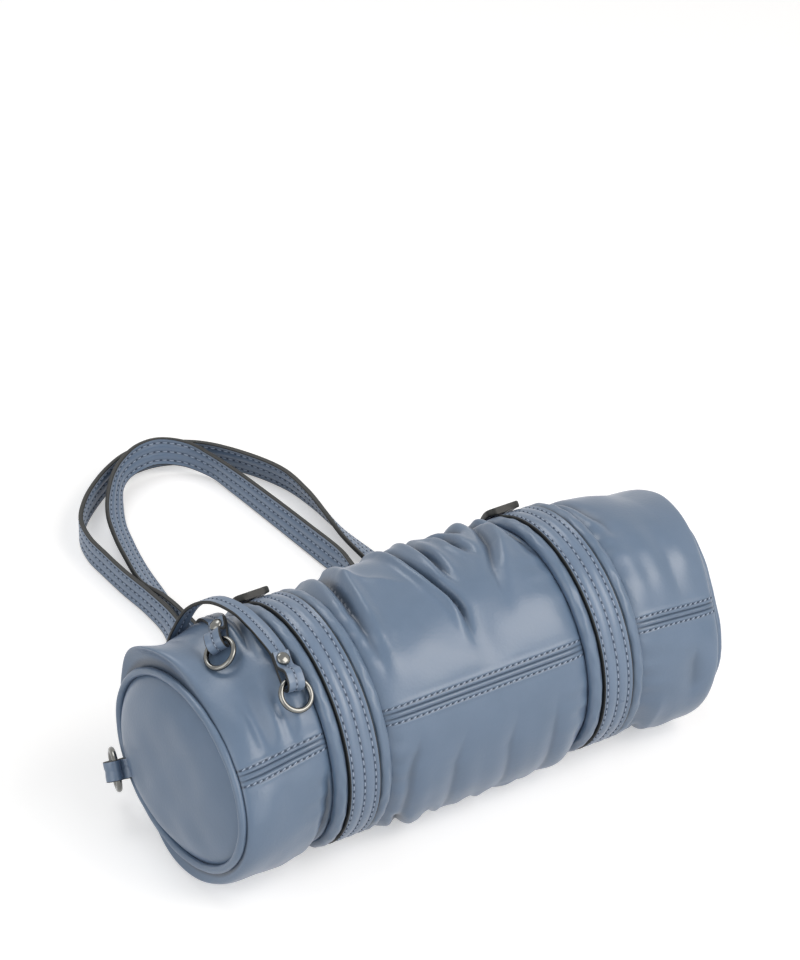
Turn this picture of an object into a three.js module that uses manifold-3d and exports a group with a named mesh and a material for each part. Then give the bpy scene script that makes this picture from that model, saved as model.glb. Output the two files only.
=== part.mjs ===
// Barrel shoulder bag in soft leather, lying on its side with the zip to the back.
// Millimetres, +Z up. X runs along the barrel, +Y to the back, and the floor is z = 0.
// Angles are in degrees round the barrel: 0 front, 90 top, 180 back, 270 underneath.

import * as THREE from 'three';
import { mergeVertices } from 'three/addons/utils/BufferGeometryUtils.js';
import Module from 'manifold-3d';

const wasm = await Module();
wasm.setup();

// Barrel
const BODY_RADIUS = 57;      // outside of the leather between the bands
const AXIS_HEIGHT = 55;      // less than the radius, so the underside is pressed flat
const END_PLANE = 135;       // middle of the end piping, from mid bag
const END_WIDE = 60;         // half of each slumped end, front to back
const LEFT_HIGH = 43.5;      // half the height of the left end, which has slumped more
const RIGHT_HIGH = 48;       // half the height of the right end
const END_DROP = 4.5;        // middle of each end under the barrel's axis
const END_LEAN = 8;          // degrees that both ends lean to the right at the top
const END_TUCK = 1.6;        // piping in from the body leather
const LEATHER = 1.6;
const LINING = 0.8;
const BOARD = 1.2;           // fibre board that stiffens each end
const PIPING_RADIUS = 2.8;
const END_DOME = 6;          // how far each end panel is puffed out
const LAYER_GAP = 0.4;       // clearance between sewn layers
const SEAM_ANGLE = 27;       // seam along the bottom of the bag, turned to the front here
const SEAM_GAP = 0.4;        // degrees between the two panels at that seam

// Zip
const ZIP_ANGLE = 207;
const ZIP_HALF = 96;         // half the length of the chain
const ZIP_SLOT = 5.8;        // half the slot between the panel edges, in degrees
const ZIP_DRAW = 28;         // degrees either side in which the zip draws the leather straight
const TAPE_SPREAD = 15;      // tape edge from the middle of the zip, in degrees
const TAPE = 0.8;
const TOOTH_PITCH = 4;
const TOOTH_GAP = 0.2;       // between neighbouring teeth of the two rows
const TOOTH_HEIGHT = 3;
const TOOTH_ROOT = 3.2;      // from the middle of the chain to the back of a row
const TOOTH_SPINE = 1.4;     // width of the cord that carries the teeth
const TOOTH_TIP = 1.3;       // reach of a tooth past the middle
const SLIDER_LENGTH = 10;
const SLIDER_WALL = 1.1;
const BAIL_RISE = 3.8;
const BAIL_WIRE = 1.4;
const BAIL_WIDTH = 1.8;
const BAIL_SPAN = 7;
const PULL_LENGTH = 15;
const PULL_WIDTH = 6;
const PULL = 1.2;
const PULL_BAR = 1.4;         // the bar of the pull that turns in the bail
const RUN_GAP = 0.35;        // running clearance of the slider and its pull
const STOP_LENGTH = 3;

// Bands round the barrel
const BAND_X = 70;           // middle of each band, from mid bag
const BAND_RADIUS = 60;      // outside of the strap
const BAND_WIDTH = 16.5;
const BAND_STRAP = 3;
const UNDERLAY = 1.5;
const UNDERLAY_HALF = 15;    // half width of the underlay with its two rolled edges
const ROLL_RISE = 4;         // height of the rolled edges
const BAND_SLOT = 8.5;       // half the break in each band at the zip, in degrees
const GATHER_REACH = 12;     // length of leather drawn in beside a band

// Handles
const HANDLE_WIDTH = 15.5;
const HANDLE = 3;
const TIP_SPREAD = 80;       // sewn tip of a handle from the zip, in degrees
const FLEX_SPREAD = 30;      // where the handle leaves the band, in degrees from the zip
const FLEX_GAP = 0.4;        // break between the sewn tab and the swinging strap

// Gathering ties
const TIE_WIDTH = 8.6;
const TIE = 1.4;
const TIE_FOLD = 15;         // length of tie that is folded back round its ring
const TIE_RING = 7.4;        // ring radius at the middle of its wire
const TIE_WIRE = 1.1;
const TIE_RING_DROP = 12;    // degrees that a tie ring leans towards the leather
const RIVET_SET = 11;        // rivet from the ring
const RIVET_HEAD = 3.2;
const RIVET_POST = 1.4;
const RIVET_HOLE = 1.7;

// End rings and the tabs that carry them
const TAB_ANGLE = 215;
const TAB_RADIUS = 53;       // tab from the barrel axis
const TAB_REACH = 7.5;       // ring wire beyond the piping plane
const TAB_WIDTH = 10;
const TAB = 1.6;
const END_RING = 9.7;
const END_WIRE = 1.3;
const END_RING_LEAN = 20;    // degrees that a hanging end ring leans in under the tab

// Levels that follow from the sizes above
const STRAP_SEAT = BAND_RADIUS - BAND_STRAP;
const UNDERLAY_SEAT = STRAP_SEAT - LAYER_GAP - UNDERLAY;
const BAND_SEAT = UNDERLAY_SEAT - LAYER_GAP;
const TAB_SEAT = BAND_RADIUS + LAYER_GAP;
const BAND_FLOOR = HANDLE + LAYER_GAP;
const GRIP_HALF = UNDERLAY_HALF + 1;
const PANEL_END = END_PLANE - PIPING_RADIUS - LAYER_GAP;
const TAPE_SEAT = LEATHER + LAYER_GAP;
const ZIP_FULL = ZIP_HALF + STOP_LENGTH;
const LINING_SEAT = LEATHER + 2 * LAYER_GAP;

const { clamp, degToRad, lerp, smoothstep } = THREE.MathUtils;
const X_AXIS = new THREE.Vector3(1, 0, 0);
const cosd = (angle) => Math.cos(degToRad(angle));
const sind = (angle) => Math.sin(degToRad(angle));
const radial = (angle) => new THREE.Vector3(0, -cosd(angle), sind(angle));

// Finishes
const finish = (color, roughness, metalness = 0) =>
  new THREE.MeshStandardMaterial({ color, roughness, metalness });
const leather = () => finish('#6f8098', 0.42);
const strapLeather = () => finish('#75859c', 0.45);
const liningCloth = () => finish('#8d8f96', 0.85);
const fibreBoard = () => finish('#9a8a70', 0.9);
const zipCloth = () => finish('#5f6d81', 0.8);
const nickel = () => finish('#b9bbbd', 0.28, 1);

const bag = new THREE.Group();
bag.name = 'barrel_shoulder_bag';

function add(name, geometry, material, parent = bag) {
  const mesh = new THREE.Mesh(geometry, material);
  mesh.name = name;
  parent.add(mesh);
  return mesh;
}

// Solids

function closedGeometry(points, triangles) {
  const geometry = new THREE.BufferGeometry();
  geometry.setFromPoints(points);
  let volume = 0;
  for (let i = 0; i < triangles.length; i += 3) {
    const [a, b, c] = [0, 1, 2].map((k) => points[triangles[i + k]]);
    volume += a.dot(new THREE.Vector3().crossVectors(b, c));
  }
  geometry.setIndex(volume < 0 ? [...triangles].reverse() : triangles);
  return geometry;
}

// A sheet with thickness: two like grids of points, joined round their rim.
function slab(us, vs, outer, inner) {
  const points = [];
  const triangles = [];
  for (const side of [outer, inner]) {
    for (const u of us) for (const v of vs) points.push(side(u, v));
  }
  const rows = us.length;
  const columns = vs.length;
  const at = (layer, i, j) => layer * rows * columns + i * columns + j;
  const quad = (a, b, c, d) => triangles.push(a, b, c, a, c, d);
  for (let i = 0; i + 1 < rows; i++) {
    for (let j = 0; j + 1 < columns; j++) {
      quad(at(0, i, j), at(0, i + 1, j), at(0, i + 1, j + 1), at(0, i, j + 1));
      quad(at(1, i, j), at(1, i, j + 1), at(1, i + 1, j + 1), at(1, i + 1, j));
    }
    quad(at(0, i, 0), at(1, i, 0), at(1, i + 1, 0), at(0, i + 1, 0));
    const j = columns - 1;
    quad(at(0, i, j), at(0, i + 1, j), at(1, i + 1, j), at(1, i, j));
  }
  for (let j = 0; j + 1 < columns; j++) {
    quad(at(0, 0, j), at(0, 0, j + 1), at(1, 0, j + 1), at(1, 0, j));
    const i = rows - 1;
    quad(at(0, i, j), at(1, i, j), at(1, i, j + 1), at(0, i, j + 1));
  }
  return closedGeometry(points, triangles);
}

// A flat profile carried along frames {origin, a, b}; place() may press a point flat.
function sweep(frames, profile, { closed = false, place = (point) => point } = {}) {
  const points = [];
  const triangles = [];
  for (const { origin, a, b } of frames) {
    for (const [p, q] of profile) {
      points.push(place(origin.clone().addScaledVector(a, p).addScaledVector(b, q), q));
    }
  }
  const count = profile.length;
  const spans = closed ? frames.length : frames.length - 1;
  for (let i = 0; i < spans; i++) {
    const here = i * count;
    const next = ((i + 1) % frames.length) * count;
    for (let j = 0; j < count; j++) {
      const k = (j + 1) % count;
      triangles.push(here + j, next + j, next + k, here + j, next + k, here + k);
    }
  }
  if (!closed) {
    const flat = profile.map(([p, q]) => new THREE.Vector2(p, q));
    const last = (frames.length - 1) * count;
    const ordered = THREE.ShapeUtils.isClockWise(flat);
    for (const [i, j, k] of THREE.ShapeUtils.triangulateShape(flat, [])) {
      const face = ordered ? [i, k, j] : [i, j, k];
      triangles.push(face[0], face[1], face[2]);
      triangles.push(last + face[0], last + face[2], last + face[1]);
    }
  }
  return closedGeometry(points, triangles);
}

const rectangle = (width, low, high) => [
  [-width / 2, low], [width / 2, low], [width / 2, high], [-width / 2, high],
];

function circle(radius, sides) {
  return Array.from({ length: sides }, (_, i) => {
    const turn = (2 * Math.PI * i) / sides;
    return [radius * Math.cos(turn), radius * Math.sin(turn)];
  });
}

function positionOnly(geometry) {
  const bare = geometry.clone();
  bare.deleteAttribute('normal');
  bare.deleteAttribute('uv');
  return mergeVertices(bare, 1e-4);
}

function toSolid(geometry) {
  const bare = positionOnly(geometry);
  return new wasm.Manifold(new wasm.Mesh({
    numProp: 3,
    vertProperties: new Float32Array(bare.attributes.position.array),
    triVerts: new Uint32Array(bare.index.array),
  }));
}

function fromSolid(solid) {
  const { vertProperties, triVerts } = solid.getMesh();
  const geometry = new THREE.BufferGeometry();
  geometry.setAttribute('position', new THREE.BufferAttribute(new Float32Array(vertProperties), 3));
  geometry.setIndex(new THREE.BufferAttribute(new Uint32Array(triVerts), 1));
  return geometry;
}

function outline(points) {
  return new THREE.Shape(points.map(([x, y]) => new THREE.Vector2(x, y)));
}

function extrude(shape, depth, curveSegments = 8) {
  return new THREE.ExtrudeGeometry(shape, { depth, bevelEnabled: false, curveSegments });
}

// The barrel's section: round between the bands, drawn in under them, and slumped at the ends

function bandGrip(x) {
  const off = Math.abs(Math.abs(x) - BAND_X);
  return 1 - smoothstep(off, GRIP_HALF, GRIP_HALF + GATHER_REACH);
}

// The zip's tapes hold the leather straight along the zip
function zipDraw(x, angle) {
  const turn = Math.abs((((angle - ZIP_ANGLE) % 360) + 540) % 360 - 180);
  const past = smoothstep(Math.abs(x), ZIP_FULL, ZIP_FULL + GATHER_REACH);
  return (1 - smoothstep(turn, TAPE_SPREAD + 2, ZIP_DRAW)) * (1 - past);
}

const slumpAt = (x) => smoothstep(Math.abs(x), BAND_X + GRIP_HALF, END_PLANE);
const heldAt = (x, angle) => Math.max(bandGrip(x), zipDraw(x, angle));

function bodyRadius(x, angle) {
  const wide = lerp(BODY_RADIUS, END_WIDE, slumpAt(x));
  const high = lerp(BODY_RADIUS, x < 0 ? LEFT_HIGH : RIGHT_HIGH, slumpAt(x));
  const free = 1 / Math.hypot(cosd(angle) / wide, sind(angle) / high);
  return lerp(free, BAND_SEAT, heldAt(x, angle));
}

// How far a point of an end is shifted along the bag by the end's lean
const leanAt = (z) => Math.tan(degToRad(END_LEAN)) * (z - AXIS_HEIGHT + END_DROP);

function bodyPoint(x, angle, depth) {
  const reach = bodyRadius(x, angle) - depth;
  const drop = END_DROP * slumpAt(x) * (1 - heldAt(x, angle));
  const point = radial(angle).multiplyScalar(reach).add(new THREE.Vector3(x, 0, AXIS_HEIGHT - drop));
  const floor = bandGrip(x) * (BAND_FLOOR + BAND_RADIUS - BAND_SEAT);
  point.z = Math.max(point.z, floor + depth);
  point.x += leanAt(point.z) * slumpAt(x);
  return point;
}

const mirrored = (half) => [...half.map((x) => -x).reverse(), ...half];

const GRIP_EDGES = [
  BAND_X - GRIP_HALF - GATHER_REACH, BAND_X - GRIP_HALF - GATHER_REACH / 2, BAND_X - GRIP_HALF,
  BAND_X + GRIP_HALF, BAND_X + GRIP_HALF + GATHER_REACH / 2, BAND_X + GRIP_HALF + GATHER_REACH,
];
const SLUMP_EDGES = [0.35, 0.65, 0.88].map((share) =>
  lerp(BAND_X + GRIP_HALF + GATHER_REACH, PANEL_END, share));
const BODY_STATIONS = mirrored([...GRIP_EDGES, ...SLUMP_EDGES, PANEL_END]);

// Where the pressed underside of a band meets its round, at the middle of the band's layers
const FLAT_EDGE = THREE.MathUtils.radToDeg(Math.asin(
  (AXIS_HEIGHT - BAND_FLOOR - BAND_STRAP / 2) / (BAND_RADIUS - BAND_STRAP / 2)));
const FLAT_CORNERS = [180 + FLAT_EDGE, 360 - FLAT_EDGE].flatMap((c) => [c - 3, c, c + 3]);

// Even steps from one angle to another, with the corners of the pressed flat put in
function arc(from, to, step) {
  const count = Math.ceil((to - from) / step);
  const even = Array.from({ length: count + 1 }, (_, i) => lerp(from, to, i / count));
  const corners = FLAT_CORNERS.filter((c) => c > from + 1 && c < to - 1);
  const clear = even.filter((angle, i) =>
    i === 0 || i === count || corners.every((c) => Math.abs(c - angle) > 1.5));
  return [...clear, ...corners].sort((a, b) => a - b);
}

function bodyShell(stations, angles, depth, thickness) {
  return slab(stations, angles,
    (x, angle) => bodyPoint(x, angle, depth),
    (x, angle) => bodyPoint(x, angle, depth + thickness));
}

// Body panels and lining
const PANEL_STEP = 12;
add('upper_body_panel', bodyShell(BODY_STATIONS,
  arc(SEAM_ANGLE + SEAM_GAP / 2, ZIP_ANGLE - ZIP_SLOT, PANEL_STEP), 0, LEATHER), leather());
add('lower_body_panel', bodyShell(BODY_STATIONS,
  arc(ZIP_ANGLE + ZIP_SLOT, SEAM_ANGLE + 360 - SEAM_GAP / 2, PANEL_STEP), 0, LEATHER), leather());

const LINING_CLEAR = TAPE_SPREAD + 1.5;
const LINING_STEP = 14;
const LINING_END = PANEL_END - 1;
const LINING_STATIONS = mirrored([GRIP_EDGES[3], GRIP_EDGES[5], ...SLUMP_EDGES, LINING_END]);
add('lining', bodyShell(LINING_STATIONS,
  arc(ZIP_ANGLE + LINING_CLEAR, ZIP_ANGLE + 360 - LINING_CLEAR, LINING_STEP), LINING_SEAT, LINING),
liningCloth());

// Oval discs and rings at the two ends
function ovalFrame(side, x) {
  const group = new THREE.Group();
  group.position.set(side * x, 0, AXIS_HEIGHT - END_DROP);
  group.rotation.set(0, degToRad(END_LEAN), 0);
  bag.add(group);
  return group;
}

// A disc turned from a half profile [reach 0 to 1, height out of the bag], made oval
function ovalDisc(side, profile, wide, high) {
  const lathe = new THREE.LatheGeometry(profile.map(([r, y]) => new THREE.Vector2(r, y)), 32);
  const geometry = positionOnly(lathe);
  geometry.scale(wide, 1, high);
  geometry.rotateZ(side > 0 ? -Math.PI / 2 : Math.PI / 2);
  return geometry;
}

const flatDisc = (thickness) => [[0, 0], [1, 0], [1, thickness], [0, thickness]];

function domedDisc(thickness, dome) {
  const reaches = [0, 0.4, 0.7, 0.9, 1];
  const crown = (r) => dome * (1 - r ** 4);
  const inner = reaches.map((r) => [r, crown(r)]);
  const outer = reaches.map((r) => [r, crown(r) + thickness]).reverse();
  return [...inner, ...outer];
}

function pipingRing(wide, high) {
  const STEPS = 36;
  const frames = Array.from({ length: STEPS }, (_, i) => {
    const turn = (2 * Math.PI * i) / STEPS;
    const origin = new THREE.Vector3(0, wide * Math.cos(turn), high * Math.sin(turn));
    const out = new THREE.Vector3(0, Math.cos(turn) / wide, Math.sin(turn) / high);
    return { origin, a: X_AXIS, b: out.normalize() };
  });
  return sweep(frames, circle(PIPING_RADIUS, 6), { closed: true });
}

const END_FIT = PIPING_RADIUS + LAYER_GAP;
const PANEL_BACK = END_PLANE - LEATHER / 2;
const BOARD_BACK = PANEL_BACK - LAYER_GAP - BOARD;
const LINING_END_BACK = BOARD_BACK - LAYER_GAP - LINING;
const LINING_END_FIT = LEATHER + LAYER_GAP + 1;
for (const [name, side, endHigh] of [['left', -1, LEFT_HIGH], ['right', 1, RIGHT_HIGH]]) {
  const wide = END_WIDE - END_TUCK;
  const high = endHigh - END_TUCK;
  add(`${name}_piping`, pipingRing(wide, high), leather(), ovalFrame(side, END_PLANE));
  add(`${name}_end_panel`, ovalDisc(side, domedDisc(LEATHER, END_DOME),
    wide - END_FIT, high - END_FIT), leather(), ovalFrame(side, PANEL_BACK));
  add(`${name}_end_board`, ovalDisc(side, flatDisc(BOARD),
    wide - END_FIT, high - END_FIT), fibreBoard(), ovalFrame(side, BOARD_BACK));
  add(`${name}_end_lining`, ovalDisc(side, flatDisc(LINING),
    wide - LINING_END_FIT, high - LINING_END_FIT), liningCloth(), ovalFrame(side, LINING_END_BACK));
}

// Bands: a padded underlay with rolled edges, and the strap sewn along its middle

const STRAP_HALF = BAND_WIDTH / 2 + LAYER_GAP;
const ROLL = UNDERLAY_HALF - STRAP_HALF;
const underlayHalf = [
  [STRAP_HALF, UNDERLAY],
  [STRAP_HALF + 0.2 * ROLL, 0.8 * ROLL_RISE],
  [STRAP_HALF + 0.5 * ROLL, ROLL_RISE],
  [STRAP_HALF + 0.85 * ROLL, 0.7 * ROLL_RISE],
  [UNDERLAY_HALF, 0.25 * ROLL_RISE],
  [UNDERLAY_HALF, 0],
].map(([p, rise]) => [p, UNDERLAY_SEAT + rise]);
const UNDERLAY_PROFILE = [...underlayHalf, ...underlayHalf.map(([p, q]) => [-p, q]).reverse()];

const BAND_STEP = 11;
const pressBand = (point, level) => {
  point.z = Math.max(point.z, BAND_FLOOR + BAND_RADIUS - level);
  return point;
};
const bandFrames = (x, angles) => angles.map((angle) => (
  { origin: new THREE.Vector3(x, 0, AXIS_HEIGHT), a: X_AXIS, b: radial(angle) }));

for (const [name, side] of [['left', -1], ['right', 1]]) {
  const frames = bandFrames(side * BAND_X,
    arc(ZIP_ANGLE + BAND_SLOT, ZIP_ANGLE + 360 - BAND_SLOT, BAND_STEP));
  add(`${name}_band_underlay`, sweep(frames, UNDERLAY_PROFILE, { place: pressBand }), leather());
  add(`${name}_band_strap`,
    sweep(frames, rectangle(BAND_WIDTH, STRAP_SEAT, BAND_RADIUS), { place: pressBand }),
    strapLeather());
}

// Handles: each end is a tongue sewn on a band, and the strap between swings from there

const UPPER_TIP = ZIP_ANGLE - TIP_SPREAD;
const UPPER_FLEX = ZIP_ANGLE - FLEX_SPREAD;
const FLEX_STEP = (FLEX_GAP / BAND_RADIUS) * (180 / Math.PI);
const TIP_ROUND = HANDLE_WIDTH / 2;
const LOWER_FLEX = BAND_RADIUS * cosd(FLAT_EDGE) + HANDLE;
const SEWN_LENGTH = degToRad(TIP_SPREAD - FLEX_SPREAD) * BAND_RADIUS;

// The upper tabs lie on the back of the bands
function upperTab(x) {
  const angles = [0, 0.06, 0.14, 0.24, 0.5, 0.75, 1].map((s) => lerp(UPPER_TIP, UPPER_FLEX, s));
  const frames = bandFrames(x, angles).map((frame, i) => {
    const along = degToRad(angles[i] - UPPER_TIP) * TAB_SEAT;
    const back = clamp(1 - along / TIP_ROUND, 0, 0.95);
    return { ...frame, a: X_AXIS.clone().multiplyScalar(Math.sqrt(1 - back * back)) };
  });
  return sweep(frames, rectangle(HANDLE_WIDTH, TAB_SEAT, TAB_SEAT + HANDLE));
}

// The lower tabs are pressed between the bands and the floor
function lowerTab(x) {
  const tip = LOWER_FLEX - SEWN_LENGTH + TIP_ROUND;
  const shape = new THREE.Shape();
  shape.moveTo(x + HANDLE_WIDTH / 2, LOWER_FLEX);
  shape.lineTo(x - HANDLE_WIDTH / 2, LOWER_FLEX);
  shape.lineTo(x - HANDLE_WIDTH / 2, tip);
  shape.absarc(x, tip, TIP_ROUND, Math.PI, 2 * Math.PI, false);
  return extrude(shape, HANDLE);
}

// A flat strap along stations [x, y, height of its lowest edge, and then the direction
// from its outer to its inner edge]
function strap(stations, width, thickness, steps) {
  const path = new THREE.CatmullRomCurve3(stations.map((s) => new THREE.Vector3(...s.slice(0, 3))));
  const lean = new THREE.CatmullRomCurve3(
    stations.map((s) => new THREE.Vector3(...s.slice(3)).normalize()));
  const frames = Array.from({ length: steps + 1 }, (_, i) => {
    const origin = path.getPoint(i / steps);
    const along = path.getTangent(i / steps);
    const a = lean.getPoint(i / steps);
    a.addScaledVector(along, -a.dot(along)).normalize();
    const b = new THREE.Vector3().crossVectors(along, a);
    origin.z += (Math.abs(a.z) * width + Math.abs(b.z) * thickness) / 2;
    return { origin, a, b };
  });
  return sweep(frames, rectangle(width, -thickness / 2, thickness / 2));
}

const flexAngle = UPPER_FLEX + FLEX_STEP;
const flexPoint = radial(flexAngle).multiplyScalar(TAB_SEAT + HANDLE / 2);
const flexY = flexPoint.y;
const flexZ = flexPoint.z + AXIS_HEIGHT;

// Both handles stand on edge in nested loops behind the bag, the upper one outside
const UPPER_ROUTE = [
  [BAND_X, flexY, flexZ, -1, 0, 0],
  [BAND_X, flexY + 1, flexZ - 12, -1, 0, 0],
  [BAND_X, flexY + 4, flexZ - 28, -1, 0, 0],
  [BAND_X + 0.5, flexY + 13, flexZ - 43, -1, 0, 0],
  [BAND_X + 1, 92, 5.6, -1, 0, 0],
  [70.5, 113, 1.8, -1, 0, 0.05],
  [66.5, 138, 0.3, -13, -2, 4],
  [63.5, 160, 0.3, -12, -4, 7],
  [61.8, 180, 0.3, -10, -5, 9],
  [61.5, 200, 0.3, -7, -5, 12],
  [62, 222, 0.3, -5, -3, 14],
  [59.5, 246, 0.3, -3, -1, 15],
  [47, 274, 0.3, -3, 0, 15],
  [31, 293, 0.3, -1, 0, 15],
  [12, 302.5, 0.3, 0, 0.5, 15],
  [-6, 302, 0.3, 0, 1, 15],
  [-22, 294.5, 0.3, 0.5, 1, 15],
  [-38, 282, 0.3, 0.5, 1, 15],
  [-49, 270.5, 0.3, 1, 1, 15],
  [-57.5, 257, 0.3, 0.5, 0.5, 15],
  [-61.3, 240, 0.3, 0.5, 0, 15],
  [-61, 222, 0.3, 0.5, 0, 15],
  [-60, 203, 0.3, 0.5, 0, 15],
  [-57.8, 181, 0.3, 1, 0, 15],
  [-57.5, 160, 0.3, 3, 0, 15],
  [-61.5, 138, 0.6, 9, 0, 12],
  [-67.5, 113, 1.9, 15, 0, 5],
  [-BAND_X + 0.5, 92, 6, 1, 0, 0.05],
  [-BAND_X, flexY + 13, flexZ - 43, 1, 0, 0],
  [-BAND_X, flexY + 4, flexZ - 28, 1, 0, 0],
  [-BAND_X, flexY + 1, flexZ - 12, 1, 0, 0],
  [-BAND_X, flexY, flexZ, 1, 0, 0],
];

const LOWER_ROUTE = [
  [BAND_X, LOWER_FLEX + FLEX_GAP, 0.1, -1, 0, 0],
  [BAND_X, LOWER_FLEX + 16, 0.2, -1, 0, 0],
  [63, 78, 0.3, -15, 0, 1],
  [54, 105, 0.3, -14, 0, 7],
  [47, 135, 0.3, -8, 0, 14],
  [44.5, 163, 0.3, 3, 0, 15],
  [42, 190, 0.3, 3.2, 0, 15],
  [39.2, 220, 0.3, 2.4, 0, 15],
  [35, 257, 0.6, 0.8, 0, 15],
  [31, 276, 1.8, -1, 1, 15],
  [23, 288.5, 4.5, 0, 2, 15],
  [10, 297, 6, 2, 3, 14],
  [-1, 297, 6, 0, 3, 14],
  [-12, 293, 5, -4, -1, 14],
  [-20, 286.5, 3.5, -6, -3, 13],
  [-28.5, 274, 1.5, -9, -4, 11],
  [-36, 258.5, 0.5, -10.5, -4, 10],
  [-41, 241, 0.3, -11, -5, 9],
  [-45, 222, 0.3, -11, -6, 8.6],
  [-48.5, 196, 0.3, -11, -7, 8.4],
  [-49.5, 172, 0.3, -6, -4, 14],
  [-52, 148, 0.3, 3, 0, 15.5],
  [-54, 122, 0.3, 10, 0, 12],
  [-58, 98, 0.3, 15, 0, 5],
  [-66, 70, 0.3, 16, 0, 0.5],
  [-BAND_X, LOWER_FLEX + 14, 0.2, 1, 0, 0],
  [-BAND_X, LOWER_FLEX + FLEX_GAP, 0.1, 1, 0, 0],
];

for (const [name, side] of [['left', -1], ['right', 1]]) {
  add(`upper_handle_tab_${name}`, upperTab(side * BAND_X), strapLeather());
  add(`lower_handle_tab_${name}`, lowerTab(side * BAND_X), strapLeather());
}
const HANDLE_STEPS = 60;
add('upper_handle_strap', strap(UPPER_ROUTE, HANDLE_WIDTH, HANDLE, HANDLE_STEPS), strapLeather());
add('lower_handle_strap', strap(LOWER_ROUTE, HANDLE_WIDTH, HANDLE, HANDLE_STEPS), strapLeather());

// Folded loops that carry a ring: a leg, a round bight and the other leg

// Half the inside of a loop: the wire, with room for the ring's curve across the strap
function loopHalf(ring, wire, width) {
  return ring - Math.sqrt(ring * ring - width * width / 4) + wire + RUN_GAP;
}

// Points of the inner leg, the bight and the outer leg, in the plane of the ring's reach (e)
// and the outward side (n)
function loopPoints(half, thickness, bightAhead, inner, outer) {
  const turn = half + thickness / 2;
  const STEPS = 8;
  const bight = Array.from({ length: STEPS + 1 }, (_, i) => {
    const angle = -Math.PI / 2 + (Math.PI * i) / STEPS;
    return [bightAhead + turn * Math.cos(angle), turn * Math.sin(angle)];
  });
  return [...inner, ...bight, ...outer];
}

function ribbon(points, across, width, thickness) {
  const frames = points.map((origin, i) => {
    const before = points[Math.max(i - 1, 0)];
    const after = points[Math.min(i + 1, points.length - 1)];
    const along = after.clone().sub(before).normalize();
    const a = across[i].clone().addScaledVector(along, -across[i].dot(along)).normalize();
    return { origin, a, b: new THREE.Vector3().crossVectors(along, a) };
  });
  return sweep(frames, rectangle(width, -thickness / 2, thickness / 2));
}

// A ring whose wire passes through `seat`, reaching along e, with n its normal
function addRing(name, seat, e, n, ring, wire) {
  const across = new THREE.Vector3().crossVectors(n, e);
  const geometry = positionOnly(new THREE.TorusGeometry(ring, wire, 6, 20));
  const mesh = add(name, geometry, nickel());
  mesh.position.copy(seat).addScaledVector(e, ring);
  mesh.quaternion.setFromRotationMatrix(new THREE.Matrix4().makeBasis(e, across, n));
  return mesh;
}

// Gathering ties: stations are [x, angle, lift of the strap's middle off the leather]
const TIE_LOOP = loopHalf(TIE_RING, TIE_WIRE, TIE_WIDTH);
const TIE_LIE = LAYER_GAP + TIE / 2;
const TIE_TURN = TIE_LOOP + TIE / 2;

// A point over the leather, lifted from the higher side of the leather under a tie
function overLeather(x, angle, lift) {
  const ground = Math.max(...[-0.5, 0, 0.5].map((s) => bodyRadius(x + s * TIE_WIDTH, angle)));
  return bodyPoint(x, angle, bodyRadius(x, angle) - ground - lift);
}

// Direction out of the leather, from its slopes along and round the bag
function leatherNormal(x, angle) {
  const along = bodyPoint(x + 1, angle, 0).sub(bodyPoint(x - 1, angle, 0));
  const around = bodyPoint(x, angle + 1, 0).sub(bodyPoint(x, angle - 1, 0));
  return along.cross(around).normalize();
}

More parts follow.
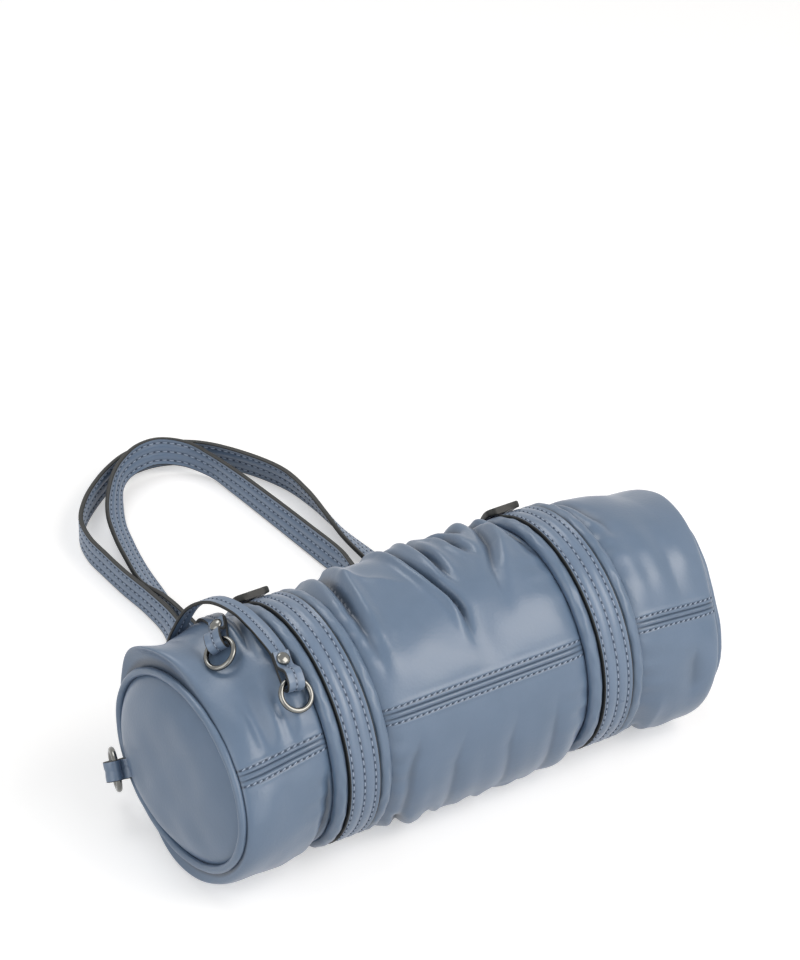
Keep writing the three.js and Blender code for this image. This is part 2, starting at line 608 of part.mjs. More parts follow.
function addTie(name, stations, end) {
  const curve = new THREE.CatmullRomCurve3(stations.map((s) => overLeather(...s)));
  const n = leatherNormal(end.x, end.angle);
  const seat = bodyPoint(end.x, end.angle, 0).addScaledVector(n, end.lift + TIE_TURN);
  const toward = new THREE.Vector3(end.drift, 0, 0).add(
    new THREE.Vector3(0, -sind(end.angle), -cosd(end.angle)));
  const e = toward.addScaledVector(n, -toward.dot(n)).normalize();
  const across = new THREE.Vector3().crossVectors(e, n);
  const rivetLift = TIE + LAYER_GAP - TIE_TURN;
  const bow = TIE_RING - Math.sqrt(TIE_RING ** 2 - TIE_WIDTH ** 2 / 4);
  const flat = loopPoints(TIE_LOOP, TIE, bow + 0.1, [[-TIE_FOLD, -TIE_TURN], [-RIVET_SET, -TIE_TURN]],
    [[-bow - TIE_WIRE, TIE_TURN], [-RIVET_SET + RIVET_HEAD, rivetLift], [-TIE_FOLD, rivetLift]]);
  const fold = flat.map(([p, q]) => seat.clone().addScaledVector(e, p).addScaledVector(n, q));
  const STEPS = 16;
  const lead = curve.getPoints(STEPS);
  const outward = (point) => new THREE.Vector3(0, point.y, point.z - AXIS_HEIGHT);
  const points = [...lead, ...fold];
  const leadSides = lead.map((point, i) => {
    const along = points[i + 1].clone().sub(points[Math.max(i - 1, 0)]);
    return along.cross(outward(point)).normalize();
  });
  const sides = [...leadSides, ...fold.map(() => across)];
  const hole = new THREE.CylinderGeometry(RIVET_HOLE, RIVET_HOLE, 6 * TIE_TURN, 12);
  const rivetAt = seat.clone().addScaledVector(e, -RIVET_SET);
  const stand = new THREE.Quaternion().setFromUnitVectors(new THREE.Vector3(0, 1, 0), n);
  hole.applyQuaternion(stand).translate(rivetAt.x, rivetAt.y, rivetAt.z);
  const body = toSolid(ribbon(points, sides, TIE_WIDTH, TIE));
  add(`${name}_tie`, fromSolid(body.subtract(toSolid(hole))), strapLeather());
  const top = rivetLift + TIE / 2 + LAYER_GAP;
  const bottom = -TIE_TURN - TIE / 2 + 0.1;
  const rivet = add(`${name}_tie_rivet`, positionOnly(new THREE.LatheGeometry([
    [0, bottom], [RIVET_POST, bottom], [RIVET_POST, top], [RIVET_HEAD, top],
    [RIVET_HEAD, top + 0.4], [0.7 * RIVET_HEAD, top + 1.1], [0, top + 1.4],
  ].map(([r, y]) => new THREE.Vector2(r, y)), 12)), nickel());
  rivet.position.copy(rivetAt);
  rivet.quaternion.copy(stand);
  const drop = degToRad(TIE_RING_DROP);
  const hang = e.clone().multiplyScalar(Math.cos(drop)).addScaledVector(n, -Math.sin(drop));
  const face = n.clone().multiplyScalar(Math.cos(drop)).addScaledVector(e, Math.sin(drop));
  addRing(`${name}_tie_ring`, seat, hang, face, TIE_RING, TIE_WIRE);
}

addTie('long', [
  [-112, 152, TIE_LIE], [-110.5, 142, 5.5], [-105, 130, 11], [-98.5, 118, 10.8],
  [-92.8, 106, 6.8], [-90.8, 96, 3.6], [-90.8, 84, 3],
], { x: -93, angle: 58, drift: -0.12, lift: TIE_LIE });
addTie('short', [
  [-97, 146, TIE_LIE], [-98, 138, 2.4], [-99.5, 128, 3],
], { x: -108.5, angle: 100, drift: -0.7, lift: TIE_LIE + 0.9 });

// End rings on their tabs
const TAB_LOOP = loopHalf(END_RING, END_WIRE, TAB_WIDTH);
for (const [name, side] of [['left', -1], ['right', 1]]) {
  const e = new THREE.Vector3(side * cosd(END_LEAN), 0, -side * sind(END_LEAN));
  const out = radial(TAB_ANGLE);
  const seat = out.clone().multiplyScalar(TAB_RADIUS).add(
    new THREE.Vector3(side * END_PLANE, 0, AXIS_HEIGHT));
  seat.x += leanAt(seat.z);
  seat.addScaledVector(e, TAB_REACH);
  out.addScaledVector(e, -out.dot(e)).normalize();
  const bow = END_RING - Math.sqrt(END_RING ** 2 - TAB_WIDTH ** 2 / 4);
  const root = -TAB_REACH + PIPING_RADIUS + LAYER_GAP;
  const turn = TAB_LOOP + TAB / 2;
  const flat = loopPoints(TAB_LOOP, TAB, bow + 0.1, [[root, -turn]], [[root, turn]]);
  const points = flat.map(([p, q]) => seat.clone().addScaledVector(e, p).addScaledVector(out, q));
  const across = new THREE.Vector3().crossVectors(e, out);
  add(`${name}_end_tab`, ribbon(points, points.map(() => across), TAB_WIDTH, TAB), strapLeather());
  const lean = degToRad(END_RING_LEAN);
  const hang = out.clone().multiplyScalar(Math.cos(lean)).addScaledVector(e, -Math.sin(lean));
  const face = e.clone().multiplyScalar(Math.cos(lean)).addScaledVector(out, Math.sin(lean));
  addRing(`${name}_end_ring`, seat, hang, face, END_RING, END_WIRE);
}

// Zip: in a group turned so that its +Y is out of the bag and +Z is towards the upper panel

const zip = new THREE.Group();
zip.position.set(0, 0, AXIS_HEIGHT);
zip.rotation.set(degToRad(180 - ZIP_ANGLE), 0, 0);
bag.add(zip);

// Under the bands the leather is drawn in, and the whole zip lies at that level
const CHAIN_LEVEL = BAND_SEAT - TAPE_SEAT - TAPE / 2;

function tape(direction) {
  const from = THREE.MathUtils.radToDeg((TOOTH_ROOT + LAYER_GAP) / CHAIN_LEVEL);
  const angles = [0, 0.5, 1].map((s) => lerp(from, TAPE_SPREAD, s));
  const face = (level) => (x, angle) =>
    new THREE.Vector3(x, level * cosd(angle), direction * level * sind(angle));
  const ends = [-ZIP_FULL, ZIP_FULL];
  return slab(ends, angles, face(CHAIN_LEVEL + TAPE / 2), face(CHAIN_LEVEL - TAPE / 2));
}

// A row of teeth on its cord, drawn flat in x and the zip's own +Z, and given the chain's height
function toothRow(direction) {
  const tooth = TOOTH_PITCH / 2 - TOOTH_GAP;
  const inner = TOOTH_ROOT - TOOTH_SPINE;
  const offset = direction > 0 ? 0 : TOOTH_PITCH / 2;
  const points = [[-ZIP_HALF, TOOTH_ROOT], [-ZIP_HALF, inner]];
  for (let x = -ZIP_HALF + offset; x + tooth < ZIP_HALF; x += TOOTH_PITCH) {
    const waist = 0.15 * tooth;
    if (x > -ZIP_HALF) points.push([x, inner]);
    points.push([x + waist, 0], [x, -TOOTH_TIP], [x + tooth, -TOOTH_TIP]);
    points.push([x + tooth - waist, 0], [x + tooth, inner]);
  }
  points.push([ZIP_HALF, inner], [ZIP_HALF, TOOTH_ROOT]);
  const shape = outline(points.map(([x, z]) => [x, -direction * z]));
  return extrude(shape, TOOTH_HEIGHT).rotateX(-Math.PI / 2)
    .translate(0, CHAIN_LEVEL - TOOTH_HEIGHT / 2, 0);
}

for (const [name, direction] of [['upper', 1], ['lower', -1]]) {
  add(`${name}_zip_tape`, tape(direction), zipCloth(), zip);
  add(`${name}_zip_teeth`, toothRow(direction), nickel(), zip);
}

// Each end of the zip slot is closed by a leather patch, and the chain by a metal stop
const PATCH_HALF = ZIP_SLOT - 1.5 * SEAM_GAP;
const patchAngles = [-1, 0, 1].map((s) => ZIP_ANGLE + s * PATCH_HALF);
const pastStop = ZIP_FULL + 3 * LAYER_GAP;
const leanShift = Math.abs(bodyPoint(pastStop, ZIP_ANGLE, 0).x - pastStop);
const patchStart = pastStop + leanShift;
const patchStations = [patchStart, ...BODY_STATIONS.filter((x) => x > patchStart + LAYER_GAP)];
for (const [name, side] of [['left', -1], ['right', 1]]) {
  add(`${name}_zip_patch`,
    bodyShell(patchStations.map((x) => side * x), patchAngles, 0, LEATHER), leather());
  const stop = new THREE.BoxGeometry(STOP_LENGTH - LAYER_GAP, TOOTH_HEIGHT + SLIDER_WALL, 2 * TOOTH_ROOT);
  stop.translate(side * (ZIP_HALF + LAYER_GAP / 2 + STOP_LENGTH / 2),
    CHAIN_LEVEL + SLIDER_WALL / 2, 0);
  add(`${name}_zip_stop`, positionOnly(stop), nickel(), zip);
}

// Slider: two plates over and under the chain, each with lips that keep it on the teeth
const SLIDER_X = ZIP_HALF - SLIDER_LENGTH / 2 - 1;
const LIP_IN = TOOTH_ROOT + RUN_GAP;
const LIP_OUT = LIP_IN + SLIDER_WALL;
const PLATE_IN = TOOTH_HEIGHT / 2 + RUN_GAP;
const PLATE_OUT = PLATE_IN + SLIDER_WALL;
const LIP_END = TAPE / 2 + RUN_GAP;

// Half of the slider's section in the zip's Z and Y, facing out (+1) or in (-1)
function sliderPlate(facing) {
  const section = [
    [-LIP_OUT, LIP_END], [-LIP_IN, LIP_END], [-LIP_IN, PLATE_IN], [LIP_IN, PLATE_IN],
    [LIP_IN, LIP_END], [LIP_OUT, LIP_END], [LIP_OUT, PLATE_OUT], [-LIP_OUT, PLATE_OUT],
  ];
  const shape = outline(section.map(([z, y]) => [-z, facing * y]));
  return extrude(shape, SLIDER_LENGTH).rotateY(Math.PI / 2)
    .translate(SLIDER_X - SLIDER_LENGTH / 2, CHAIN_LEVEL, 0);
}

// The bail is an arch over the top plate, open under its crown for the bar of the pull
function bail() {
  const half = BAIL_SPAN / 2;
  const inside = half - BAIL_WIRE;
  const crown = BAIL_RISE - BAIL_WIRE;
  const shape = outline([
    [-half, -0.5 * SLIDER_WALL], [-inside, -0.5 * SLIDER_WALL], [-inside, 0.7 * crown],
    [-0.6 * inside, crown], [0.6 * inside, crown], [inside, 0.7 * crown],
    [inside, -0.5 * SLIDER_WALL], [half, -0.5 * SLIDER_WALL], [half, 0.6 * BAIL_RISE],
    [0.6 * half, BAIL_RISE], [-0.6 * half, BAIL_RISE], [-half, 0.6 * BAIL_RISE],
  ]);
  return extrude(shape, BAIL_WIDTH).translate(SLIDER_X, CHAIN_LEVEL + PLATE_OUT, -BAIL_WIDTH / 2);
}

// The pull hangs out from the slider; its bar turns in the bail
function pull() {
  const half = PULL_WIDTH / 2;
  const bar = PULL_BAR / 2;
  const eye = Math.hypot(BAIL_SPAN / 2, BAIL_RISE) + RUN_GAP;
  const shape = outline([
    [-bar, -0.8 * half], [eye, -half], [PULL_LENGTH - half, -half], [PULL_LENGTH, -0.5 * half],
    [PULL_LENGTH, 0.5 * half], [PULL_LENGTH - half, half], [eye, half], [-bar, 0.8 * half],
  ]);
  const slot = BAIL_WIDTH / 2 + 2 * RUN_GAP;
  shape.holes.push(outline([[bar, -slot], [bar, slot], [eye, slot], [eye, -slot]]));
  const [x, y, z] = [0, 1, 2].map((i) => new THREE.Vector3().setComponent(i, 1));
  const rise = CHAIN_LEVEL + PLATE_OUT + (BAIL_RISE - BAIL_WIRE) / 2;
  return extrude(shape, PULL).applyMatrix4(new THREE.Matrix4().makeBasis(y, z, x))
    .translate(SLIDER_X - PULL / 2, rise, 0);
}

const topPlate = toSolid(sliderPlate(1)).add(toSolid(bail()));
add('zip_slider', fromSolid(topPlate), nickel(), zip);
add('zip_slider_back', sliderPlate(-1), nickel(), zip);
add('zip_pull', pull(), nickel(), zip);

export default bag;
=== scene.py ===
"""A soft leather barrel shoulder bag, lying on its side on a pale studio floor.

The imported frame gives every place. X runs along the barrel, +Y to the back and
+Z up. Sizes are in millimetres. Angles are in degrees round the barrel: 0 is
the front, 90 the top, 180 the back and 270 the underside.
"""

import logging
import math
from dataclasses import dataclass, field, replace
from enum import Enum

import bpy
import numpy as np
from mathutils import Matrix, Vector


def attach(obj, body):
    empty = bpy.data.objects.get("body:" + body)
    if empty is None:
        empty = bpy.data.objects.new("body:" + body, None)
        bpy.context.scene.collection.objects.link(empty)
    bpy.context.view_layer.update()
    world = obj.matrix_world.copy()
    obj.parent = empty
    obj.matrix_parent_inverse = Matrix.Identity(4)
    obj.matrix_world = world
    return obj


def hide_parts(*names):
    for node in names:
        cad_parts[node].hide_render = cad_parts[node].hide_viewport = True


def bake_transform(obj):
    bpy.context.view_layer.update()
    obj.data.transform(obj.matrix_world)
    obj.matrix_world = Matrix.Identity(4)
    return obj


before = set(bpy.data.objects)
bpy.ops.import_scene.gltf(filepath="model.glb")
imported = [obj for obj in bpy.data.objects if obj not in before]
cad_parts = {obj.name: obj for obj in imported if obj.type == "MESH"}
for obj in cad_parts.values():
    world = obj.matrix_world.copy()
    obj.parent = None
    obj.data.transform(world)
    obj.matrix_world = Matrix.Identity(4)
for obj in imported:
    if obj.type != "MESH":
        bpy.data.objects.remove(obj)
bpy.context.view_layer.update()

LOG = logging.getLogger("shoulder_bag")
MM = 0.001
SIDES = {"left": -1.0, "right": 1.0}
ASKEW = (0.31, 0.57, 0.76)  # a direction along no axis of the bag

Array = np.ndarray
Stations = tuple[tuple[float, ...], ...]


class Slot(Enum):
    """The record's material slots, passed along with the new pieces."""

    BODY = "body_leather"
    STRAP = "strap_leather"
    LINING = "lining_cloth"
    BOARD = "fibre_board"
    METAL = "nickel"


# Numbers and curves


def smoothstep(low: float, high: float, value: Array) -> Array:
    """Zero below low, one above high, and an S curve between them."""
    share = np.clip((value - low) / (high - low), 0.0, 1.0)
    return share * share * (3.0 - 2.0 * share)


def bell(value: Array, width: float) -> Array:
    """A bell curve of height one that falls to 1/e at the given width."""
    return np.exp(-((value / width) ** 2))


def turn_between(angle: Array, centre: float) -> Array:
    """The signed turn in degrees from centre to angle, from -180 to 180."""
    return (np.asarray(angle) - centre + 180.0) % 360.0 - 180.0


def radial(angle: Array) -> Array:
    """The unit vector out of the barrel at an angle, as an array of rows."""
    turn = np.radians(angle)
    return np.stack([0.0 * turn, -np.cos(turn), np.sin(turn)], axis=-1)


def unit(vectors: Array) -> Array:
    """Vectors scaled to length one along their last axis."""
    return vectors / np.linalg.norm(vectors, axis=-1, keepdims=True)


def circle(count: int) -> Array:
    """Points of a unit circle, as rows of cosine and sine."""
    turn = np.linspace(0.0, 2.0 * np.pi, count, endpoint=False)
    return np.stack([np.cos(turn), np.sin(turn)], axis=1)


def spokes(axis: Array, count: int) -> Array:
    """Unit vectors square to an axis, spread evenly round it."""
    first, ring = unit(np.cross(axis, ASKEW)), circle(count)
    return ring[:, :1] * first + ring[:, 1:] * np.cross(axis, first)


def soft_floor(height: Array, floor: Array, ease: float = 1.2) -> Array:
    """Heights held above a floor, easing into it over a few millimetres."""
    gap = height - floor
    return floor + 0.5 * (gap + np.sqrt(gap * gap + ease * ease)) - 0.25 * ease


def unevenness(u: Array, v: Array, period: float, seed: float) -> Array:
    """Smooth uneven ground between -1 and 1: waves of three directions added up.

    Args:
        u: First place on the surface, in millimetres.
        v: Second place on the surface, in millimetres.
        period: The usual length of a wave, in millimetres.
        seed: A phase that gives each piece its own ground.

    Returns:
        The height at each place.
    """
    turn = 2.0 * math.pi / period
    first = np.sin(turn * (0.93 * u + 0.31 * v) + 1.7 * seed + 0.8 * np.sin(0.6 * turn * v))
    second = np.sin(turn * (-0.42 * u + 0.81 * v) + 2.9 * seed + 0.9 * np.sin(0.5 * turn * u))
    third = np.sin(turn * (0.57 * u - 1.27 * v) + 4.3 * seed)
    return (first + second + 0.6 * third) / 2.6


def smooth_path(stations: Array, spacing: float) -> Array:
    """A smooth curve through stations, resampled at an even spacing.

    Each span is a cubic whose end slopes come from the neighbouring stations,
    timed by the square root of the chord. Columns after the third ride along.

    Args:
        stations: Rows of x, y, z and any further values.
        spacing: Distance between the resampled points, in millimetres.

    Returns:
        Rows like the stations, evenly spaced along the curve.
    """
    stations = np.asarray(stations, dtype=float)
    chords = np.linalg.norm(np.diff(stations[:, :3], axis=0), axis=1)
    times = np.concatenate([[0.0], np.cumsum(np.sqrt(chords))])
    slopes = np.gradient(stations, times, axis=0)
    fine = np.linspace(0.0, times[-1], 40 * len(stations))
    span = np.clip(np.searchsorted(times, fine, side="right") - 1, 0, len(times) - 2)
    step = (times[span + 1] - times[span])[:, None]
    t = ((fine - times[span]) / step[:, 0])[:, None]
    curve = (
        (2 * t**3 - 3 * t**2 + 1) * stations[span]
        + (t**3 - 2 * t**2 + t) * step * slopes[span]
        + (-2 * t**3 + 3 * t**2) * stations[span + 1]
        + (t**3 - t**2) * step * slopes[span + 1]
    )
    return even_steps(curve, spacing)


def even_steps(curve: Array, spacing: float) -> Array:
    """A polyline resampled at an even spacing along its first three columns."""
    lengths = np.linalg.norm(np.diff(curve[:, :3], axis=0), axis=1)
    along = np.concatenate([[0.0], np.cumsum(lengths)])
    count = max(int(round(along[-1] / spacing)), 1) + 1
    places = np.linspace(0.0, along[-1], count)
    return np.stack([np.interp(places, along, column) for column in curve.T], axis=1)


# Meshes


def grid_faces(rows: int, columns: int, wrap_rows: bool = False, wrap_columns: bool = False) -> Array:
    """Four-sided faces of a grid of points stored row by row.

    Args:
        rows: Number of rows of points.
        columns: Number of points in a row.
        wrap_rows: Whether the last row joins the first.
        wrap_columns: Whether a row's last point joins its first.

    Returns:
        Rows of four indices, turning from the row direction to the column direction.
    """
    i = np.arange(rows if wrap_rows else rows - 1)[:, None]
    j = np.arange(columns if wrap_columns else columns - 1)[None, :]
    here, below = i * columns, ((i + 1) % rows) * columns
    right = (j + 1) % columns
    corners = [here + j, below + j, below + right, here + right]
    return np.stack([np.broadcast_to(c, (i.size, j.size)) for c in corners], axis=-1).reshape(-1, 4)


@dataclass
class Shell:
    """Points in millimetres, their faces, and the finish that each face takes."""

    points: Array
    faces: list[list[int]]
    finishes: Array | None = None

    def turned_out(self) -> "Shell":
        """The same closed shell with its faces outwards, found from its signed volume."""
        fans = [(f[0], f[k], f[k + 1]) for f in self.faces for k in range(1, len(f) - 1)]
        a, b, c = self.points[np.array(fans)].transpose(1, 0, 2)
        if np.einsum("ij,ij->", a, np.cross(b, c)) < 0.0:
            self.faces = [f[::-1] for f in self.faces]
        return self

    @staticmethod
    def joined(shells: list["Shell"]) -> "Shell":
        """Several shells as the loose parts of one."""
        points, faces, finishes, start = [], [], [], 0
        for shell in shells:
            points.append(shell.points)
            faces += [[start + k for k in f] for f in shell.faces]
            own = shell.finishes
            finishes.append(np.zeros(len(shell.faces), int) if own is None else own)
            start += len(shell.points)
        return Shell(np.concatenate(points), faces, np.concatenate(finishes))


def make_piece(
    name: str,
    shell: Shell,
    materials: list[bpy.types.Material],
    painted_shade: Array | None = None,
) -> bpy.types.Object:
    """A Blender object from a shell, at the origin, with smooth faces.

    Args:
        name: The piece's name.
        shell: Its points, faces and finishes.
        materials: The finishes' materials, in the order of their numbers.
        painted_shade: How much painted shade each point takes, most in a crease or stitch line, from 0 to 1.

    Returns:
        The new object, linked to the scene.
    """
    mesh = bpy.data.meshes.new(name)
    mesh.from_pydata((shell.points * MM).tolist(), [], shell.faces)
    for material in materials:
        mesh.materials.append(material)
    mesh.polygons.foreach_set("use_smooth", np.ones(len(shell.faces), bool))
    mesh.set_sharp_from_angle(angle=math.radians(75.0))
    if shell.finishes is not None:
        mesh.polygons.foreach_set("material_index", shell.finishes.astype(np.int32))
    # The painted shade, kept as a point attribute that darkens the leather's colour.
    depth = np.zeros(len(shell.points)) if painted_shade is None else painted_shade
    layer = mesh.attributes.new("painted_shade", "FLOAT", "POINT")
    layer.data.foreach_set("value", depth.astype(np.float32))
    mesh.update()
    piece = bpy.data.objects.new(name, mesh)
    bpy.context.scene.collection.objects.link(piece)
    return piece


def tube(points: Array, closed: bool = False) -> Shell:
    """A shell from rows of points, each row a loop, with a face over either open end.

    Args:
        points: The loops, row by row.
        closed: Whether the last loop joins the first.

    Returns:
        The shell, with its faces outwards.
    """
    rows, columns = points.shape[:2]
    faces = grid_faces(rows, columns, wrap_rows=closed, wrap_columns=True).tolist()
    if not closed:
        faces += [list(range(columns)), list(range((rows - 1) * columns, rows * columns))[::-1]]
    return Shell(points.reshape(-1, 3), faces).turned_out()


def sweep(origins: Array, across: Array, normals: Array, profile: Array, closed: bool = False) -> Shell:
    """A flat profile carried along a path, with its ends closed by a face each.

    Args:
        origins: The path's points.
        across: The direction of the profile's first coordinate at each point.
        normals: The direction of its second coordinate at each point.
        profile: Rows of two coordinates, or one such profile for each point.
        closed: Whether the path joins up.

    Returns:
        The shell, with its faces outwards.
    """
    profile = np.broadcast_to(profile, (len(origins), *profile.shape[-2:]))
    points = (
        origins[:, None, :]
        + profile[:, :, :1] * across[:, None, :]
        + profile[:, :, 1:] * normals[:, None, :]
    )
    return tube(points, closed)


def path_frames(path: Array, lean: Array) -> tuple[Array, Array]:
    """Directions across and out of a strap along a path.

    Args:
        path: The path's points.
        lean: The wished direction across the strap at each point.

    Returns:
        Unit vectors across the strap, and unit vectors out of its face.
    """
    along = unit(np.gradient(path, axis=0))
    across = unit(lean - np.sum(lean * along, axis=1, keepdims=True) * along)
    return across, np.cross(along, across)


def torus(centre: Array, normal: Array, radius: float, wire: float) -> Shell:
    """A ring: a circle of wire carried round a larger circle about a normal."""
    normal = unit(np.asarray(normal, float))
    out = spokes(normal, 72)
    up = np.broadcast_to(normal, out.shape)
    return sweep(centre + radius * out, out, up, wire * circle(16), closed=True)


def lathe(base: Array, axis: Array, profile: Stations) -> Shell:
    """A turned piece: a half profile of (reach, height) spun about an axis."""
    axis = unit(np.asarray(axis, float))
    half = np.array(profile)
    return tube(base + half[:, None, :1] * spokes(axis, 32)[None] + half[:, None, 1:] * axis)


@dataclass(frozen=True)
class Stitch:
    """One stitch of thick thread, as a small six-sided spindle, and the painted shade of its needle hole."""

    pitch: float = 3.9
    length: float = 2.7
    width: float = 0.75
    height: float = 0.42
    slant: float = 0.0
    hole: float = 1.3
    hole_width: float = 0.8

    def row(self, path: Array, across: Array, normals: Array) -> Shell:
        """Stitches along a path with a needle hole between each two, a dark spindle of painted shade.

        Args:
            path: Points of the stitch line, closely spaced.
            across: Directions across the line.
            normals: Directions out of the leather.

        Returns:
            All of them as one shell, with finish 0 for thread and 1 for the holes' painted shade.
        """
        places = even_steps(np.concatenate([path, across, normals], axis=1), self.pitch)
        middles = 0.5 * (places[:-1] + places[1:])
        thread = self.spindles(middles, self.length, self.width)
        # Each needle hole is a dark spindle of painted shade.
        holes = self.spindles(places, self.hole, self.hole_width)
        holes.finishes = np.ones(len(holes.faces), int)
        return Shell.joined([thread, holes])

    def spindles(self, places: Array, length: float, width: float) -> Shell:
        """A spindle at each place, in the stitch line's own frame.

        Args:
            places: Rows of a point, the direction across and the direction out.
            length: Length of a spindle.
            width: Its width in the middle.

        Returns:
            All the spindles as one shell.
        """
        origin, side, out = places[:, :3], unit(places[:, 3:6]), unit(places[:, 6:9])
        along = unit(np.cross(side, out))
        lean = math.radians(self.slant)
        along, side = (
            math.cos(lean) * along + math.sin(lean) * side,
            math.cos(lean) * side - math.sin(lean) * along,
        )
        ends = np.array([-0.5, -0.34, 0.0, 0.34, 0.5]) * length
        swell = np.array([0.3, 0.85, 1.0, 0.85, 0.3])
        dip = np.array([-0.9, -0.15, 0.0, -0.15, -0.9]) * self.height
        turn = np.linspace(0.0, 2.0 * np.pi, 6, endpoint=False)
        spindle = np.stack(
            [
                np.broadcast_to(ends[:, None], (5, 6)),
                0.5 * width * swell[:, None] * np.cos(turn),
                dip[:, None] + self.height * swell[:, None] * np.sin(turn),
            ],
            axis=-1,
        ).reshape(-1, 3)
        basis = np.stack([along, side, out], axis=1)
        points = origin[:, None, :] + np.einsum("vk,nkc->nvc", spindle, basis)
        quads = grid_faces(5, 6, wrap_columns=True)
        count, size = len(origin), len(spindle)
        starts = (np.arange(count) * size)[:, None, None]
        faces = (quads[None] + starts).reshape(-1, 4).tolist()
        caps = np.stack([np.arange(6), np.arange(size - 1, size - 7, -1)])
        faces += (caps[None] + starts).reshape(-1, 6).tolist()
        return Shell(points.reshape(-1, 3), faces).turned_out()


SEAM_STITCH = Stitch(3.2, 2.3, 0.7, slant=24.0, hole=1.2)
TIE_STITCH = Stitch(2.8, 1.9, 0.55, 0.32, hole=1.0, hole_width=0.6)


# Finishes


def linear(colour: str) -> tuple[float, float, float, float]:
    """An sRGB hex colour as linear red, green, blue and alpha."""
    parts = [int(colour[k : k + 2], 16) / 255.0 for k in (1, 3, 5)]
    red, green, blue = (c / 12.92 if c <= 0.04045 else ((c + 0.055) / 1.055) ** 2.4 for c in parts)
    return red, green, blue, 1.0


def add_node(tree: bpy.types.NodeTree, kind: str, inputs: dict | None = None, **settings) -> bpy.types.Node:
    """A new node with its settings, and with each input set or linked.

    Args:
        tree: The material's or world's node tree.
        kind: Blender's name for the kind of node.
        inputs: Values or output sockets by input name or number.
        **settings: The node's own properties.

    Returns:
        The node.
    """
    node = tree.nodes.new(kind)
    for key, value in settings.items():
        setattr(node, key, value)
    for key, value in (inputs or {}).items():
        if isinstance(value, bpy.types.NodeSocket):
            tree.links.new(value, node.inputs[key])
        else:
            node.inputs[key].default_value = value
    return node


def new_material(name: str) -> tuple[bpy.types.Material, bpy.types.NodeTree]:
    """An empty node material and its tree."""
    material = bpy.data.materials.new(name)
    material.use_nodes = True
    material.node_tree.nodes.clear()
    return material, material.node_tree


def scale_of(size: float) -> float:
    """The texture scale on Object coordinates that repeats every size millimetres."""
    return 1.0 / (size * MM)


@dataclass(frozen=True)
class GrainLeather:
    """Aniline-dyed, fine-grained calf leather: a soft sheen broken by tiny pebbles."""

    name: str
    colour: str
    pale: str
    # The colour that the painted shade in creases and grooves turns to.
    painted_shade_colour: str
    roughness: float
    grain: float = 1.3
    grain_height: float = 0.08
    mottle: float = 17.0
    crumple: float = 5.5
    crumple_height: float = 0.035

    def build(self) -> bpy.types.Material:
        """The material, with mottled dye, painted shade in its creases and grooves, and pebbled grain."""
        material, tree = new_material(self.name)
        place = add_node(tree, "ShaderNodeTexCoord").outputs["Object"]
        cloud = add_node(
            tree, "ShaderNodeTexNoise",
            {"Vector": place, "Scale": scale_of(self.mottle), "Detail": 3.0, "Roughness": 0.6},
        )
        dye = add_node(
            tree, "ShaderNodeMix",
            {0: cloud.outputs[0], 6: linear(self.colour), 7: linear(self.pale)}, data_type="RGBA",
        )
        # Painted shade: the colour turns to the shade colour where the point attribute of painted shade is
        # high.
        painted_shade_share = add_node(tree, "ShaderNodeAttribute", attribute_name="painted_shade")
        tone = add_node(
            tree, "ShaderNodeMix",
            {0: painted_shade_share.outputs["Fac"], 6: dye.outputs[2], 7: linear(self.painted_shade_colour)}, data_type="RGBA",
        )
        gloss = add_node(
            tree, "ShaderNodeMapRange",
            {0: cloud.outputs[0], 1: 0.3, 2: 0.7, 3: self.roughness - 0.05, 4: self.roughness + 0.06},
        )
        pebbles = add_node(
            tree, "ShaderNodeTexVoronoi",
            {"Vector": place, "Scale": scale_of(self.grain)}, feature="SMOOTH_F1",
        )
        creasing = add_node(
            tree, "ShaderNodeTexNoise",
            {"Vector": place, "Scale": scale_of(self.crumple), "Detail": 4.0, "Distortion": 0.6},
        )
        soft = add_node(
            tree, "ShaderNodeBump",
            {"Height": creasing.outputs[0], "Strength": 0.6, "Distance": self.crumple_height * MM},
        )
        fine = add_node(tree, "ShaderNodeBump", {
            "Height": pebbles.outputs["Distance"],
            "Normal": soft.outputs[0],
            "Strength": 0.7,
            "Distance": self.grain_height * MM,
        }, invert=True)
        shader = add_node(tree, "ShaderNodeBsdfPrincipled", {
            "Base Color": tone.outputs[2],
            "Roughness": gloss.outputs[0],
            "Normal": fine.outputs[0],
            "IOR": 1.5,
            "Specular IOR Level": 0.6,
            "Sheen Weight": 0.12,
            "Sheen Roughness": 0.35,
            "Sheen Tint": linear("#dcdaf0"),
        })
        add_node(tree, "ShaderNodeOutputMaterial", {"Surface": shader.outputs[0]})
        return material


@dataclass(frozen=True)
class PlainFinish:
    """A finish of one colour, with a fine roughness of its surface."""

    name: str
    colour: str
    roughness: float
    metallic: float = 0.0
    texture: float = 0.8
    texture_height: float = 0.03

    def build(self) -> bpy.types.Material:
        """The material, with a little noise in its surface."""
        material, tree = new_material(self.name)
        place = add_node(tree, "ShaderNodeTexCoord").outputs["Object"]
        noise = add_node(
            tree, "ShaderNodeTexNoise",
            {"Vector": place, "Scale": scale_of(self.texture), "Detail": 2.0},
        )
        bump = add_node(
            tree, "ShaderNodeBump",
            {"Height": noise.outputs[0], "Strength": 0.5, "Distance": self.texture_height * MM},
        )
        shader = add_node(tree, "ShaderNodeBsdfPrincipled", {
            "Base Color": linear(self.colour),
            "Roughness": self.roughness,
            "Metallic": self.metallic,
            "Normal": bump.outputs[0],
        })
        add_node(tree, "ShaderNodeOutputMaterial", {"Surface": shader.outputs[0]})
        return material


